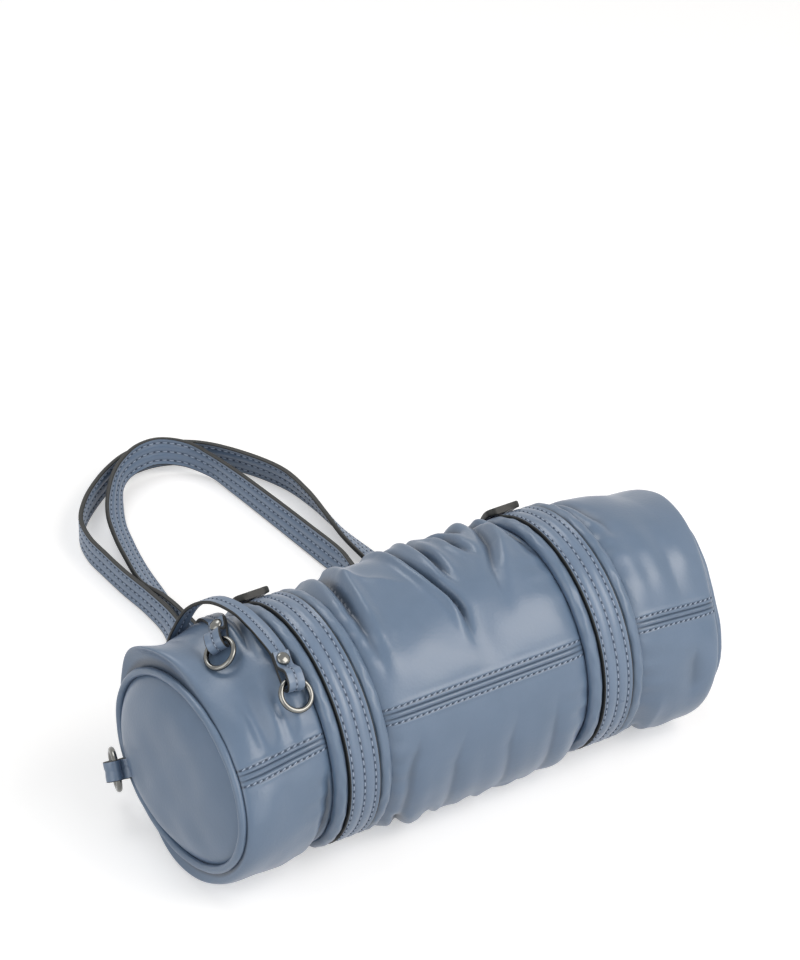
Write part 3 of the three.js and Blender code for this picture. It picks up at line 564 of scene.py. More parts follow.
class Finishes:
    """The bag's finishes, each built once."""

    def __init__(self) -> None:
        """Builds every material."""
        # Dyed calf: soft, broken highlights, and painted shade in the creases, grooves and seams.
        self.body = GrainLeather("grained calf leather", "#5a6f87", "#667991", "#2a333f", 0.34).build()
        self.strap = GrainLeather("strap calf leather", "#63768e", "#6e8199", "#29313c", 0.32).build()
        # Edge paint: a thin, half matt, near black line.
        self.edge = PlainFinish("painted leather edge", "#151614", 0.5).build()
        # Waxed thread: pale and matt. The needle holes are painted shade, drawn wider than real ones so that
        # they show.
        thread = PlainFinish("waxed polyester thread", "#98a6ba", 0.6).build()
        hole = PlainFinish("needle hole", "#445062", 0.9).build()
        self.sewing = [thread, hole]
        # Satin plate: clear but slightly blurred reflections.
        self.nickel = PlainFinish("satin nickel plate", "#767673", 0.17, 1.0, 0.5, 0.003).build()
        # Weave, cotton and pressed fibre: matt, with a fine uneven surface.
        self.tape = PlainFinish("woven zip tape", "#556378", 0.85, 0.0, 0.7, 0.12).build()
        self.lining = PlainFinish("cotton lining", "#8d8f96", 0.9, 0.0, 0.9, 0.1).build()
        self.board = PlainFinish("fibre board", "#9a8a70", 0.9, 0.0, 1.5, 0.05).build()


def fit(
    name: str, shell: Shell, materials: list[bpy.types.Material], body: str, slot: Slot,
    *nodes: str, painted_shade: Array | None = None,
) -> bpy.types.Object:
    """Makes a piece, puts it on a body, and hides the solids that it stands for.

    Args:
        name: The piece's name.
        shell: Its points, faces and finishes.
        materials: The finishes' materials, in the order of their numbers.
        body: The body that it rides on.
        slot: Its material slot; not used.
        *nodes: The solids that it stands for.
        painted_shade: How much painted shade each point takes, most in a crease or stitch line, from 0 to 1.

    Returns:
        The new object.
    """
    piece = make_piece(name, shell, materials, painted_shade)
    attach(piece, body)
    if nodes:
        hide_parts(*nodes)
    LOG.info("%s rides on %s, %d faces", piece.name, body, len(piece.data.polygons))
    return piece


# The barrel's leather


@dataclass(frozen=True)
class Crease:
    """A pinched line in the leather: a narrow valley, round at the bottom, with soft lips.

    The path runs from the top down, in x and degrees, so the near lip is on
    its left and the far lip on its right. A negative depth makes a ridge.
    """

    path: Stations
    depth: float
    width: float = 2.0
    near_lip: float = 0.0
    far_lip: float = 0.0
    lip_reach: float = 5.0
    begin: float = 0.15
    end: float = 0.45
    bottom: float = 1.0

    def field(self, x: Array, girth: Array, radius: float) -> Array:
        """The crease's height at each place of the unrolled leather.

        The distance to the nearest span of the path, rounded off near zero,
        sets the valley, which falls off as exp(-distance / width), and the
        lips, which are bells set one lip_reach away. Both fade towards the
        ends of the path.

        Args:
            x: Places along the barrel.
            girth: Places round the barrel, as a length of arc.
            radius: The radius of that arc.

        Returns:
            The height, out of the bag.
        """
        line = np.array(self.path)
        line = np.stack([line[:, 0], np.radians(line[:, 1]) * radius], axis=1)
        lengths = np.linalg.norm(np.diff(line, axis=0), axis=1)
        total = lengths.sum()
        nearest = np.full(x.shape, np.inf)
        share = np.zeros(x.shape)
        side = np.zeros(x.shape)
        done = 0.0
        for start, stop, length in zip(line[:-1], line[1:], lengths):
            run = (stop - start) / length
            dx, dv = x - start[0], girth - start[1]
            place = np.clip(dx * run[0] + dv * run[1], 0.0, length)
            gap = np.hypot(dx - place * run[0], dv - place * run[1])
            closer = gap < nearest
            nearest = np.where(closer, gap, nearest)
            share = np.where(closer, (done + place) / total, share)
            side = np.where(closer, run[0] * dv - run[1] * dx, side)
            done += length
        fade = smoothstep(0.0, self.begin, share) * (1.0 - smoothstep(1.0 - self.end, 1.0, share))
        lip = np.where(side > 0.0, self.far_lip, self.near_lip)
        lip = lip * bell(nearest - self.lip_reach, 0.75 * self.lip_reach)
        rounded = np.hypot(nearest, self.bottom) - self.bottom
        return fade * (lip - self.depth * np.exp(-rounded / self.width))


@dataclass(frozen=True)
class Puff:
    """A soft swelling of the leather, or a dent where its height is negative."""

    x: float
    angle: float
    height: float
    along: float
    round: float

    def field(self, x: Array, angle: Array, radius: float) -> Array:
        """A bell in both directions, along the barrel and round it."""
        arc = np.radians(turn_between(angle, self.angle)) * radius
        return self.height * bell(x - self.x, self.along) * bell(arc, self.round)


MIDDLE_CREASES = (
    Crease(((-38, 138), (-40, 118), (-43, 100), (-45.5, 84), (-46.5, 68), (-46.5, 52), (-48, 36)),
           3.2, 2.4, 1.3, 2.0, 5.5, 0.06, 0.6),
    Crease(((-8, 138), (-5, 118), (-5, 107), (-4, 95), (-1.6, 82), (1.6, 71.5), (2.8, 64), (2.3, 57),
            (1.8, 50), (0.6, 43)), 2.8, 1.4, 1.9, 0.3, 4.0, 0.1, 0.3),
    Crease(((11, 142), (9.5, 128), (8, 110), (7.6, 97), (7, 84), (9, 72)), 2.4, 1.4, 1.3, 1.0, 4.0),
    Crease(((18, 142), (21, 128), (24.5, 118), (24, 104), (25.5, 96), (28, 86)), 2.4, 1.4, 1.2, 1.0, 4.0),
    Crease(((28, 138), (31, 126), (32, 117), (31, 110)), 4.6, 2.6, 1.2, 0.8, 5.0, 0.1, 0.5),
    Crease(((46, 138), (42, 113), (37, 96), (29, 79), (25, 64), (23, 50)), 1.9, 2.6, 0.6, 1.9, 6.0, 0.1, 0.6),
    Crease(((44, 144), (46, 126), (51, 109), (53, 91), (54.5, 78), (55, 62)),
           2.4, 1.6, 0.6, 1.4, 4.5, 0.1, 0.5),
    Crease(((-39, 112), (-29, 97), (-9, 84)), -1.1, 4.0, begin=0.2, end=0.5),
    Crease(((-36, 22), (-38, 13), (-44, -4), (-45, -25), (-44, -48), (-42, -70)),
           1.8, 4.0, 0.8, 0.9, 7.0, 0.3, 0.3),
    Crease(((-10, 17), (-12, 11), (-20, -8), (-20, -30), (-18, -62)), 1.3, 4.5, 0.6, 0.6, 8.0, 0.4, 0.3),
    Crease(((17, 17), (16, 12), (10, -9), (11, -30), (13, -58)), 1.2, 4.5, 0.6, 0.6, 8.0, 0.4, 0.3),
    Crease(((38, 17), (35, -8), (35, -34), (36, -62)), 1.3, 4.0, 0.6, 0.6, 7.0, 0.4, 0.3),
    Crease(((-50, -30), (-41, -50), (-34, -74)), 2.8, 2.0, 0.8, 1.2, 4.5, 0.25, 0.3),
    Crease(((-31, -36), (-24, -54), (-16, -74)), 2.6, 2.0, 0.8, 1.2, 4.5, 0.25, 0.3),
    Crease(((-8, -40), (1, -58), (9, -76)), 2.2, 2.0, 0.6, 1.0, 4.5, 0.25, 0.3),
    Crease(((26, -42), (21, -60), (15, -80)), 2.2, 2.0, 1.0, 0.6, 4.5, 0.25, 0.3),
    Crease(((-30, 176), (-26, 158), (-27, 140)), 2.0, 2.2, 0.8, 0.8, 5.0),
    Crease(((34, 178), (30, 160), (33, 144)), 2.0, 2.2, 0.8, 0.8, 5.0),
    Crease(((2, 180), (-2, 162), (0, 146)), 1.6, 2.4, 0.8, 0.8, 5.0),
    Crease(((-32, 262), (-30, 248), (-34, 236)), 1.8, 2.4, 0.8, 0.8, 5.0),
    Crease(((24, 262), (28, 246), (25, 236)), 1.8, 2.4, 0.8, 0.8, 5.0),
)
END_CREASES = (
    Crease(((-87, 22), (-87, 4), (-88, -22), (-91, -50), (-90, -75)), 3.2, 2.4, 0.6, 1.6, 5.0, 0.3, 0.2),
    Crease(((-88, 132), (-94, 106), (-99, 88), (-101, 72)), 1.6, 2.4, 0.8, 0.8, 5.0, 0.2, 0.6),
    Crease(((90, 134), (93, 104), (95, 84), (94, 66)), 1.9, 2.2, 1.7, 0.4, 5.5, 0.15, 0.6),
    Crease(((119, 12), (118, 0), (118.5, -20)), 1.3, 5.0, begin=0.4, end=0.4),
    Crease(((98, -8), (98, -28), (98, -52)), -0.9, 4.0, begin=0.4, end=0.4),
    Crease(((-96, -38), (-101, -54), (-108, -72)), 2.0, 2.2, 0.8, 0.8, 5.0, 0.3, 0.3),
    Crease(((91, -36), (97, -54), (106, -72)), 2.0, 2.2, 0.8, 0.8, 5.0, 0.3, 0.3),
    Crease(((90, 186), (97, 170), (104, 156)), 1.7, 2.2, 0.8, 0.8, 5.0),
    Crease(((-90, 186), (-97, 172), (-103, 162)), 1.5, 2.2, 0.8, 0.8, 5.0),
)
PUFFS = (
    Puff(-20, 114, 1.6, 14, 14),
    Puff(2, 124, 2.2, 8, 13),
    Puff(38, 126, 2.6, 9, 12),
    Puff(6, 50, -1.2, 7, 14),
    Puff(-25, 46, 0.7, 20, 15),
    Puff(34, 52, 0.7, 16, 15),
    Puff(-111, 96, -3.6, 11, 15),
    Puff(-112, 152, -1.2, 9, 12),
    Puff(-91, 84, -1.6, 6, 22),
    Puff(-124, 52, 2.0, 6, 18),
    Puff(-116, 44, -1.8, 4.5, 17),
    Puff(-108, 52, 2.0, 5.5, 17),
    Puff(-101.5, 44, -1.4, 4, 16),
    Puff(-96, 48, 1.4, 5, 15),
    Puff(-110, 8, -1.6, 8, 12),
    Puff(97, 100, -2.2, 6, 22),
    Puff(93, 60, 0.9, 6, 20),
    Puff(106, 58, 1.0, 7, 20),
    Puff(120, 56, 1.2, 6, 18),
    Puff(99.5, 60, -0.5, 4, 20),
    Puff(113, 60, -0.7, 4.5, 20),
    Puff(117, -6, -1.5, 8, 15),
    Puff(-123, 132, -5.0, 5, 28),
    Puff(-116, 132, -4.5, 8, 22),
)


@dataclass(frozen=True)
class Swell:
    """A soft rise round one angle of an end, or a dip where its height is negative."""

    height: float
    angle: float
    reach: float

    def at(self, angle: Array) -> Array:
        """The rise at each angle."""
        return self.height * bell(turn_between(angle, self.angle), self.reach)


@dataclass(frozen=True)
class EndShape:
    """How one end has slumped: an oval of piping, and the leather that rolls over it."""

    wide: float
    high: float
    dips: tuple[Swell, ...]
    tuck: float
    swells: tuple[Swell, ...]
    overhang: float
    hangs: tuple[Swell, ...]
    inset: float

    def cord(self, angle: Array) -> Array:
        """Reach of the piping's middle: an oval with its dips."""
        turn = np.radians(angle)
        oval = 1.0 / np.hypot(np.cos(turn) / self.wide, np.sin(turn) / self.high)
        return oval + sum(dip.at(angle) for dip in self.dips)

    def rim(self, angle: Array) -> Array:
        """Reach of the body leather just before it turns in to the piping."""
        return self.cord(angle) + self.tuck + sum(swell.at(angle) for swell in self.swells)

    def hang(self, angle: Array) -> Array:
        """How far the rolled rim hangs out past the end."""
        return self.overhang + sum(hang.at(angle) for hang in self.hangs)


LEFT_END = EndShape(
    59.2, 40.3, (),
    4.0, (Swell(14.5, 126.0, 36.0), Swell(7.0, 300.0, 45.0)),
    1.0, (Swell(10.5, 132.0, 34.0), Swell(5.0, 275.0, 45.0)),
    0.0,
)
RIGHT_END = EndShape(
    54.5, 47.5, (Swell(-6.0, 30.0, 30.0),),
    4.5, (Swell(3.5, 60.0, 45.0), Swell(5.0, 310.0, 45.0)),
    0.0, (Swell(7.5, 112.0, 42.0), Swell(3.0, 310.0, 45.0)),
    2.4,
)


@dataclass
class Barrel:
    """The barrel of soft leather, pinched by two bands and slumped at its ends."""

    radius: float = 57.0
    axis_height: float = 55.0
    end_plane: float = 135.0
    end_wide: float = 60.0
    left_high: float = 43.5
    right_high: float = 48.0
    end_drop: float = 4.5
    end_lean: float = 8.0
    panel_end: float = 133.6
    seam_angle: float = 27.0
    zip_angle: float = 207.0
    zip_half: float = 99.0
    zip_spread: float = 17.0
    zip_reach: float = 28.0
    band_x: float = 70.0
    band_seat: float = 54.7
    band_floor: float = 8.7
    grip: float = 16.0
    gather: float = 12.0
    pillow: float = 15.0
    rim_round: float = 13.0
    cord_meet: float = 1.1
    unroll_middle: float = 97.0
    seam_groove: float = 1.3
    seam_line: float = 3.6

    def girth(self, angle: Array) -> Array:
        """Places round the unrolled leather, as a length of arc."""
        return np.radians(turn_between(angle, self.unroll_middle) + self.unroll_middle) * self.radius

    def from_seam(self, angle: Array) -> Array:
        """Distance from the sewn seam, round the barrel."""
        return np.abs(np.radians(turn_between(angle, self.seam_angle)) * self.radius)

    def zip_draw(self, x: Array, angle: Array) -> Array:
        """How far the zip's tapes hold the leather straight, from 0 to 1."""
        turn = np.abs(turn_between(angle, self.zip_angle))
        past = smoothstep(self.zip_half, self.zip_half + self.gather, np.abs(x))
        return (1.0 - smoothstep(self.zip_spread, self.zip_reach, turn)) * (1.0 - past)

    def settle(self, x: Array) -> Array:
        """How far the barrel has settled towards its slumped end, from 0 to 1."""
        return smoothstep(self.band_x + self.grip, self.end_plane, np.abs(x))

    def lean(self, height: Array) -> Array:
        """How far the lean of the ends shifts a point of that height along the bag."""
        rise = height - self.axis_height + self.end_drop
        return math.tan(math.radians(self.end_lean)) * rise

    def free_radius(self, x: Array, angle: Array) -> Array:
        """The unpinched section: a circle that turns to the slumped rim at the ends."""
        slump = smoothstep(self.band_x + self.grip, self.end_plane - 7.0, np.abs(x))
        rim = np.where(x < 0.0, LEFT_END.rim(angle), RIGHT_END.rim(angle))
        return self.radius + (rim - self.radius) * slump

    def solid_point(self, x: Array, angle: Array, lift: Array) -> Array:
        """Points over the leather of the solid model, which the ties are set against."""
        off = np.abs(np.abs(x) - self.band_x)
        pinch = 1.0 - smoothstep(self.grip, self.grip + self.gather, off)
        held = np.maximum(pinch, self.zip_draw(x, angle))
        settled, turn = self.settle(x), np.radians(angle)
        wide = self.radius + (self.end_wide - self.radius) * settled
        high = np.where(x < 0.0, self.left_high, self.right_high)
        high = self.radius + (high - self.radius) * settled
        free = 1.0 / np.hypot(np.cos(turn) / wide, np.sin(turn) / high)
        reach = free + (self.band_seat - free) * held + lift
        points = reach[..., None] * radial(angle)
        points[..., 2] += self.axis_height - self.end_drop * settled * (1.0 - held)
        points[..., 0] = x + self.lean(points[..., 2]) * settled
        return points

    def turned(self, x: Array) -> Array:
        """How far the leather has turned in over the rim, from 0 to 1 at the piping."""
        return np.clip((np.abs(x) - self.panel_end + self.rim_round) / self.rim_round, 0.0, 1.0)

    def rise(self, x: Array) -> Array:
        """The pillow beside a band: a quarter round from 0 under it to 1 clear of it."""
        off = np.abs(np.abs(x) - self.band_x)
        share = np.clip((off - self.grip + 1.0) / self.pillow, 0.0, 1.0)
        return np.sqrt(1.0 - (1.0 - share) ** 2)

    def slack(self, x: Array, angle: Array) -> Array:
        """The fullness of the leather: puffed on top between the bands, sagging in front."""
        middle = 1.0 - smoothstep(46.0, 60.0, np.abs(x))
        outer = smoothstep(84.0, 96.0, np.abs(x)) * (1.0 - smoothstep(108.0, 124.0, np.abs(x)))
        top = bell(turn_between(angle, 122.0), 36.0)
        low = bell(turn_between(angle, -50.0), 32.0)
        return middle * (1.0 + 1.6 * top + 4.6 * low) + outer * 2.6 * low + outer * (x > 0.0) * 1.2 * top

    def creases(self, x: Array, angle: Array) -> Array:
        """The pinched lines in the leather, strongest on top where it is drawn together."""
        girth = self.girth(angle)
        pinched = sum(crease.field(x, girth, self.radius) for crease in MIDDLE_CREASES + END_CREASES)
        return pinched * (1.1 + 0.75 * bell(turn_between(angle, 105.0), 60.0))

    def folds(self, x: Array, angle: Array) -> Array:
        """All creases and puffs, with a little uneven ground and the pleats beside a band."""
        girth = self.girth(angle)
        height = self.creases(x, angle) + 0.22 * unevenness(x, girth, 27.0, 0.4)
        height = height + sum(puff.field(x, angle, self.radius) for puff in PUFFS)
        beside = np.abs(np.abs(x) - self.band_x) - self.grip
        pleats = np.sin(np.radians(angle) * 21.0 + 2.6 * np.sin(np.radians(angle) * 5.0) + 0.06 * x)
        return height + 0.7 * pleats * np.exp(-np.clip(beside, 0.0, None) / 7.0)

    def seam(self, angle: Array) -> Array:
        """The sewn seam: a low plateau, two grooves with a welt between, and two stitch lines."""
        girth = self.from_seam(angle)
        plateau = 0.6 * np.exp(-((girth / 5.2) ** 6))
        grooves = 1.1 * np.exp(-np.abs(girth - self.seam_groove) / 0.5)
        lines = 0.45 * bell(girth - self.seam_line, 0.7)
        return plateau - grooves - lines

    def shade(self, x: Array, angle: Array) -> Array:
        """How much painted shade each place takes in a crease, along the seam and in the rim's groove, from 0
        to 1.
        """
        girth = self.from_seam(angle)
        # Painted shade in the seam's grooves and stitch lines, in the creases, and where the leather tucks in
        # to the piping.
        sewn = 0.6 * np.exp(-np.abs(girth - self.seam_groove) / 0.45)
        sewn = sewn + 0.6 * bell(girth - self.seam_line, 0.55)
        creased = np.clip(-self.creases(x, angle) / 4.0 - 0.12, 0.0, 0.7)
        tucked = 0.75 * smoothstep(0.94, 1.0, self.turned(x))
        return np.clip(creased + sewn + tucked, 0.0, 1.0)

    def dressed_radius(self, x: Array, angle: Array) -> Array:
        """The finished leather: fullness, folds and seam on the unpinched section."""
        held = self.zip_draw(x, angle)
        calm = 1.0 - smoothstep(0.0, 11.0, 11.0 - np.abs(turn_between(angle, self.seam_angle)))
        loose = (1.0 - held) * (0.25 + 0.75 * calm)
        full = self.free_radius(x, angle) + self.slack(x, angle) * (1.0 - held)
        full = full + self.folds(x, angle) * loose + self.seam(angle)
        full = full + (self.band_seat - full) * held
        cord = np.where(x < 0.0, LEFT_END.cord(angle), RIGHT_END.cord(angle)) + self.cord_meet
        full = cord + (full - cord) * (1.0 - self.turned(x) ** 2.4) ** (1.0 / 2.4)
        return self.band_seat + (full - self.band_seat) * self.rise(x)

    def place(self, x: Array, angle: Array, reach: Array, depth: float = 0.0) -> Array:
        """Points at a reach from the barrel's middle, pressed flat where they meet the floor."""
        points = (reach - depth)[..., None] * radial(angle)
        free = self.settle(x) * (1.0 - self.zip_draw(x, angle)) * self.rise(x)
        floor = (1.0 - self.rise(x)) * self.band_floor + depth + 0.3
        height = points[..., 2] + self.axis_height - self.end_drop * free
        points[..., 2] = soft_floor(height, floor)
        hang = np.where(x < 0.0, -LEFT_END.hang(angle), RIGHT_END.hang(angle))
        rolled = hang * np.sin(np.pi * self.turned(x) ** 1.3)
        inset = np.where(x < 0.0, -LEFT_END.inset, RIGHT_END.inset)
        points[..., 0] = x + (self.lean(points[..., 2]) - inset) * self.settle(x) + rolled
        return points

    def point(self, x: Array, angle: Array, depth: float = 0.0) -> Array:
        """Points of the finished leather, or of a layer some depth beneath it."""
        return self.place(x, angle, self.dressed_radius(x, angle), depth)

    def normal(self, x: Array, angle: Array) -> Array:
        """Directions out of the finished leather, from its slopes both ways."""
        step = 0.4
        turn = math.degrees(step / self.radius)
        along = self.point(x + step, angle) - self.point(x - step, angle)
        round_ = self.point(x, angle + turn) - self.point(x, angle - turn)
        return unit(np.cross(along, round_))


@dataclass
class Body:
    """The two body panels, the lining, and the patches that close the zip's ends."""

    barrel: Barrel
    finishes: Finishes
    seam_gap: float = 0.03
    seam_fine: float = 6.5
    zip_slot: float = 5.8
    patch_half: float = 5.4
    leather: float = 1.6
    rows: int = 350
    columns: int = 205
    lining_depth: float = 3.0
    lining_clear: float = 16.5
    lining_end: float = 14.0
    lining: float = 0.8
    patch_start: float = 1.2
    zip_row: float = 2.2

    def stations(self) -> Array:
        """Places along the barrel: few under the bands, and many where the rims turn in."""
        barrel = self.barrel
        x = np.linspace(-barrel.panel_end, barrel.panel_end, 4000)
        hidden = 1.0 - smoothstep(10.0, 14.0, np.abs(np.abs(x) - barrel.band_x))
        rim = smoothstep(barrel.panel_end - 1.5 * barrel.rim_round, barrel.panel_end, np.abs(x))
        count = np.cumsum(1.0 - 0.75 * hidden + 3.0 * rim**3)
        return np.interp(np.linspace(count[0], count[-1], self.rows), count, x)

    def panel(self, xs: Array, angles: Array, depth: float, thickness: float) -> tuple[Shell, Array]:
        """A curved sheet whose four edges turn in by its thickness.

        Args:
            xs: Places along the barrel.
            angles: Angles round it.
            depth: Depth of the sheet's face under the finished leather.
            thickness: How far its edges turn in.

        Returns:
            The shell, and how much painted shade each of its points takes in a crease, a seam or the rim's
            groove.
        """
        xs = np.concatenate([xs[:1], xs, xs[-1:]])
        angles = np.concatenate([angles[:1], angles, angles[-1:]])
        x, angle = np.meshgrid(xs, angles, indexing="ij")
        turned = np.zeros(x.shape)
        turned[[0, -1], :] = thickness
        turned[:, [0, -1]] = thickness
        reach = self.barrel.dressed_radius(x, angle)
        points = self.barrel.place(x, angle, reach - turned, depth)
        painted_shade_share = self.barrel.shade(x, angle)
        faces = grid_faces(*x.shape).tolist()
        return Shell(points.reshape(-1, 3), faces), painted_shade_share.reshape(-1)

    def stitched_line(self, xs: Array, angle: float, stitch: Stitch) -> Shell:
        """A row of stitches along the barrel at one angle, sunk a little into the leather."""
        angles = np.full(xs.shape, angle)
        normals = self.barrel.normal(xs, angles)
        path = self.barrel.point(xs, angles) + 0.1 * normals
        along = unit(np.gradient(path, axis=0))
        return stitch.row(path, np.cross(normals, along), normals)

    def build(self) -> None:
        """Makes the leather, the lining and the sewing."""
        barrel = self.barrel
        end = barrel.panel_end
        xs = self.stations()
        seam, zip_ = barrel.seam_angle, barrel.zip_angle
        near = np.arange(self.seam_gap, self.seam_fine, 0.22)
        upper = np.linspace(seam + self.seam_fine, zip_ - self.zip_slot, self.columns)
        lower = np.linspace(zip_ + self.zip_slot, seam + 360.0 - self.seam_fine, self.columns)
        spans = {
            "upper": np.concatenate([seam + near, upper]),
            "lower": np.concatenate([lower, seam + 360.0 - near[::-1]]),
        }
        for name, angles in spans.items():
            shell, painted_shade_share = self.panel(xs, angles, 0.0, self.leather)
            piece = fit(
                f"{name}_body_leather", shell, [self.finishes.body],
                "bag", Slot.BODY, f"{name}_body_panel", painted_shade=painted_shade_share,
            )
        lining_xs = np.linspace(self.lining_end - end, end - self.lining_end, 120)
        around = np.linspace(zip_ + self.lining_clear, zip_ + 360.0 - self.lining_clear, 150)
        shell, _ = self.panel(lining_xs, around, self.lining_depth, self.lining)
        lining = fit("barrel_lining", shell, [self.finishes.lining], "bag", Slot.LINING, "lining")
        for name, side in SIDES.items():
            patch_xs = side * np.linspace(barrel.zip_half + self.patch_start, end, 40)
            patch_angles = np.linspace(zip_ - self.patch_half, zip_ + self.patch_half, 14)
            shell, _ = self.panel(np.sort(patch_xs), patch_angles, 0.0, self.leather)
            fit(f"{name}_zip_end_patch", shell, [self.finishes.body], "bag", Slot.BODY, f"{name}_zip_patch")
        self.sew()

    def sewn_pair(self, name: str, end: float, middle: float, turn: float, stitch: Stitch) -> None:
        """Two rows of stitches along the barrel, broken where the bands lie.

        Args:
            name: The piece's name.
            end: How far the rows run either way from mid bag.
            middle: The angle between the two rows.
            turn: The angle from there to each row.
            stitch: The stitch.
        """
        inner, outer = self.barrel.band_x - self.barrel.grip, self.barrel.band_x + self.barrel.grip
        rows = [
            self.stitched_line(np.arange(start, stop, 0.5), middle + side * turn, stitch)
            for start, stop in ((-end, -outer), (-inner, inner), (outer, end))
            for side in SIDES.values()
        ]
        fit(name, Shell.joined(rows), self.finishes.sewing, "bag", Slot.BODY)

    def sew(self) -> None:
        """Sews the slanted rows either side of the seam, and a row along each zip edge."""
        barrel = self.barrel
        turn = math.degrees(barrel.seam_line / barrel.radius)
        self.sewn_pair("bottom_seam_stitching", barrel.panel_end - 2.0, barrel.seam_angle, turn, SEAM_STITCH)
        turn = self.zip_slot + math.degrees(self.zip_row / barrel.radius)
        self.sewn_pair("zip_edge_stitching", barrel.zip_half, barrel.zip_angle, turn, Stitch())


# The two ends


@dataclass
class EndCaps:
    """The puffed oval panels that close the barrel, and the piping round them."""

    barrel: Barrel
    finishes: Finishes
    piping: float = 1.95
    fit: float = 1.3
    sunk: float = 1.35
    dome: float = 8.5
    rim_groove: float = 0.965
    board_share: float = 0.9
    board_out: float = -2.4
    board: float = 1.2
    lining_out: float = -4.0
    lining: float = 0.8

    def oval(self, shape: EndShape, side: float, angle: Array, reach: Array, out: Array) -> Array:
        """Points of an end at a reach from its middle, and at a distance out of its plane."""
        points = reach[..., None] * radial(angle)
        points[..., 2] += self.barrel.axis_height - self.barrel.end_drop
        plane = self.barrel.end_plane - shape.inset
        points[..., 0] = side * (plane + out) + self.barrel.lean(points[..., 2])
        return points

    def panel(self, shape: EndShape, side: float) -> tuple[Shell, Array]:
        """An end panel: rings from its rim to its middle, domed like a pillow.

        The height is dome * (1 - share^5), with more fullness towards the
        back, a slack line across the middle and a little uneven ground.

        Args:
            shape: How that end has slumped.
            side: -1 for the left end and 1 for the right.

        Returns:
            The shell, and how much painted shade each of its points takes in the groove at the rim.
        """
        shares = np.sin(np.linspace(0.5 * np.pi, 0.03, 60))
        angles = np.linspace(0.0, 360.0, 160, endpoint=False)
        share, angle = np.meshgrid(shares, angles, indexing="ij")
        reach = share * (shape.cord(angle) - self.fit)
        flat = reach[..., None] * radial(angle)
        fuller = 1.0 + 0.3 * share * np.cos(np.radians(angle - 195.0))
        height = self.dome * (1.0 - share**5) * fuller
        ground = unevenness(flat[..., 1], flat[..., 2], 26.0, 2.0 + side)
        slack = np.abs(flat[..., 1] * 0.5 + flat[..., 2] * 0.86 - 9.0)
        height += 0.5 * ground * (1.0 - share**6) - 0.9 * np.exp(-slack / 7.0) * (1.0 - share**4)
        points = self.oval(shape, side, angle, reach, height - self.sunk)
        rows, columns = share.shape
        faces = grid_faces(rows, columns, wrap_columns=True).tolist()
        faces.append(list(range((rows - 1) * columns, rows * columns))[::-1])
        if side < 0:
            faces = [f[::-1] for f in faces]
        # Painted shade in the groove between the panel and its piping.
        painted_shade_share = 0.75 * smoothstep(self.rim_groove, 1.0, share)
        return Shell(points.reshape(-1, 3), faces), painted_shade_share.reshape(-1)

    def piping_ring(self, shape: EndShape, side: float) -> Shell:
        """The piping: a round cord covered in leather, carried round the oval."""
        angles = np.linspace(0.0, 360.0, 240, endpoint=False)
        path = self.oval(shape, side, angles, shape.cord(angles), 0.0 * angles)
        along = np.roll(path, -1, axis=0) - np.roll(path, 1, axis=0)
        x_axis = np.broadcast_to([1.0, 0.0, 0.0], path.shape)
        out = unit(np.cross(x_axis, along))
        arc = np.radians(angles) * shape.wide
        thick = self.piping + 0.16 * unevenness(arc, 0.0 * arc, 15.0, side)
        return sweep(path, x_axis, out, thick[:, None, None] * circle(18), closed=True)

    def disc(self, shape: EndShape, side: float, out: float, thickness: float) -> Shell:
        """A flat layer behind an end panel: two ovals joined round their rims."""
        angles = np.linspace(0.0, 360.0, 120, endpoint=False)
        reach = self.board_share * shape.cord(angles)
        layers = [self.oval(shape, side, angles, reach, 0.0 * angles + at) for at in (out, out - thickness)]
        return tube(np.stack(layers))

    def build(self) -> None:
        """Makes both ends, with the stiffening board and the lining behind each."""
        for (name, side), shape in zip(SIDES.items(), (LEFT_END, RIGHT_END)):
            shell, painted_shade_share = self.panel(shape, side)
            panel = fit(
                f"{name}_end_leather", shell, [self.finishes.body],
                "bag", Slot.BODY, f"{name}_end_panel", painted_shade=painted_shade_share,
            )
            cord = self.piping_ring(shape, side)
            fit(f"{name}_piping_cord", cord, [self.finishes.body], "bag", Slot.BODY, f"{name}_piping")
            board = self.disc(shape, side, self.board_out, self.board)
            fit(f"{name}_fibre_board", board, [self.finishes.board], "bag", Slot.BOARD, f"{name}_end_board")
            cloth = self.disc(shape, side, self.lining_out, self.lining)
            node = f"{name}_end_lining"
            fit(f"{name}_lining_oval", cloth, [self.finishes.lining], "bag", Slot.LINING, node)


def give(node: str, material: bpy.types.Material) -> None:
    """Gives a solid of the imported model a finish, in place of its plain one."""
    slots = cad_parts[node].data.materials
    slots.clear()
    slots.append(material)


# Straps


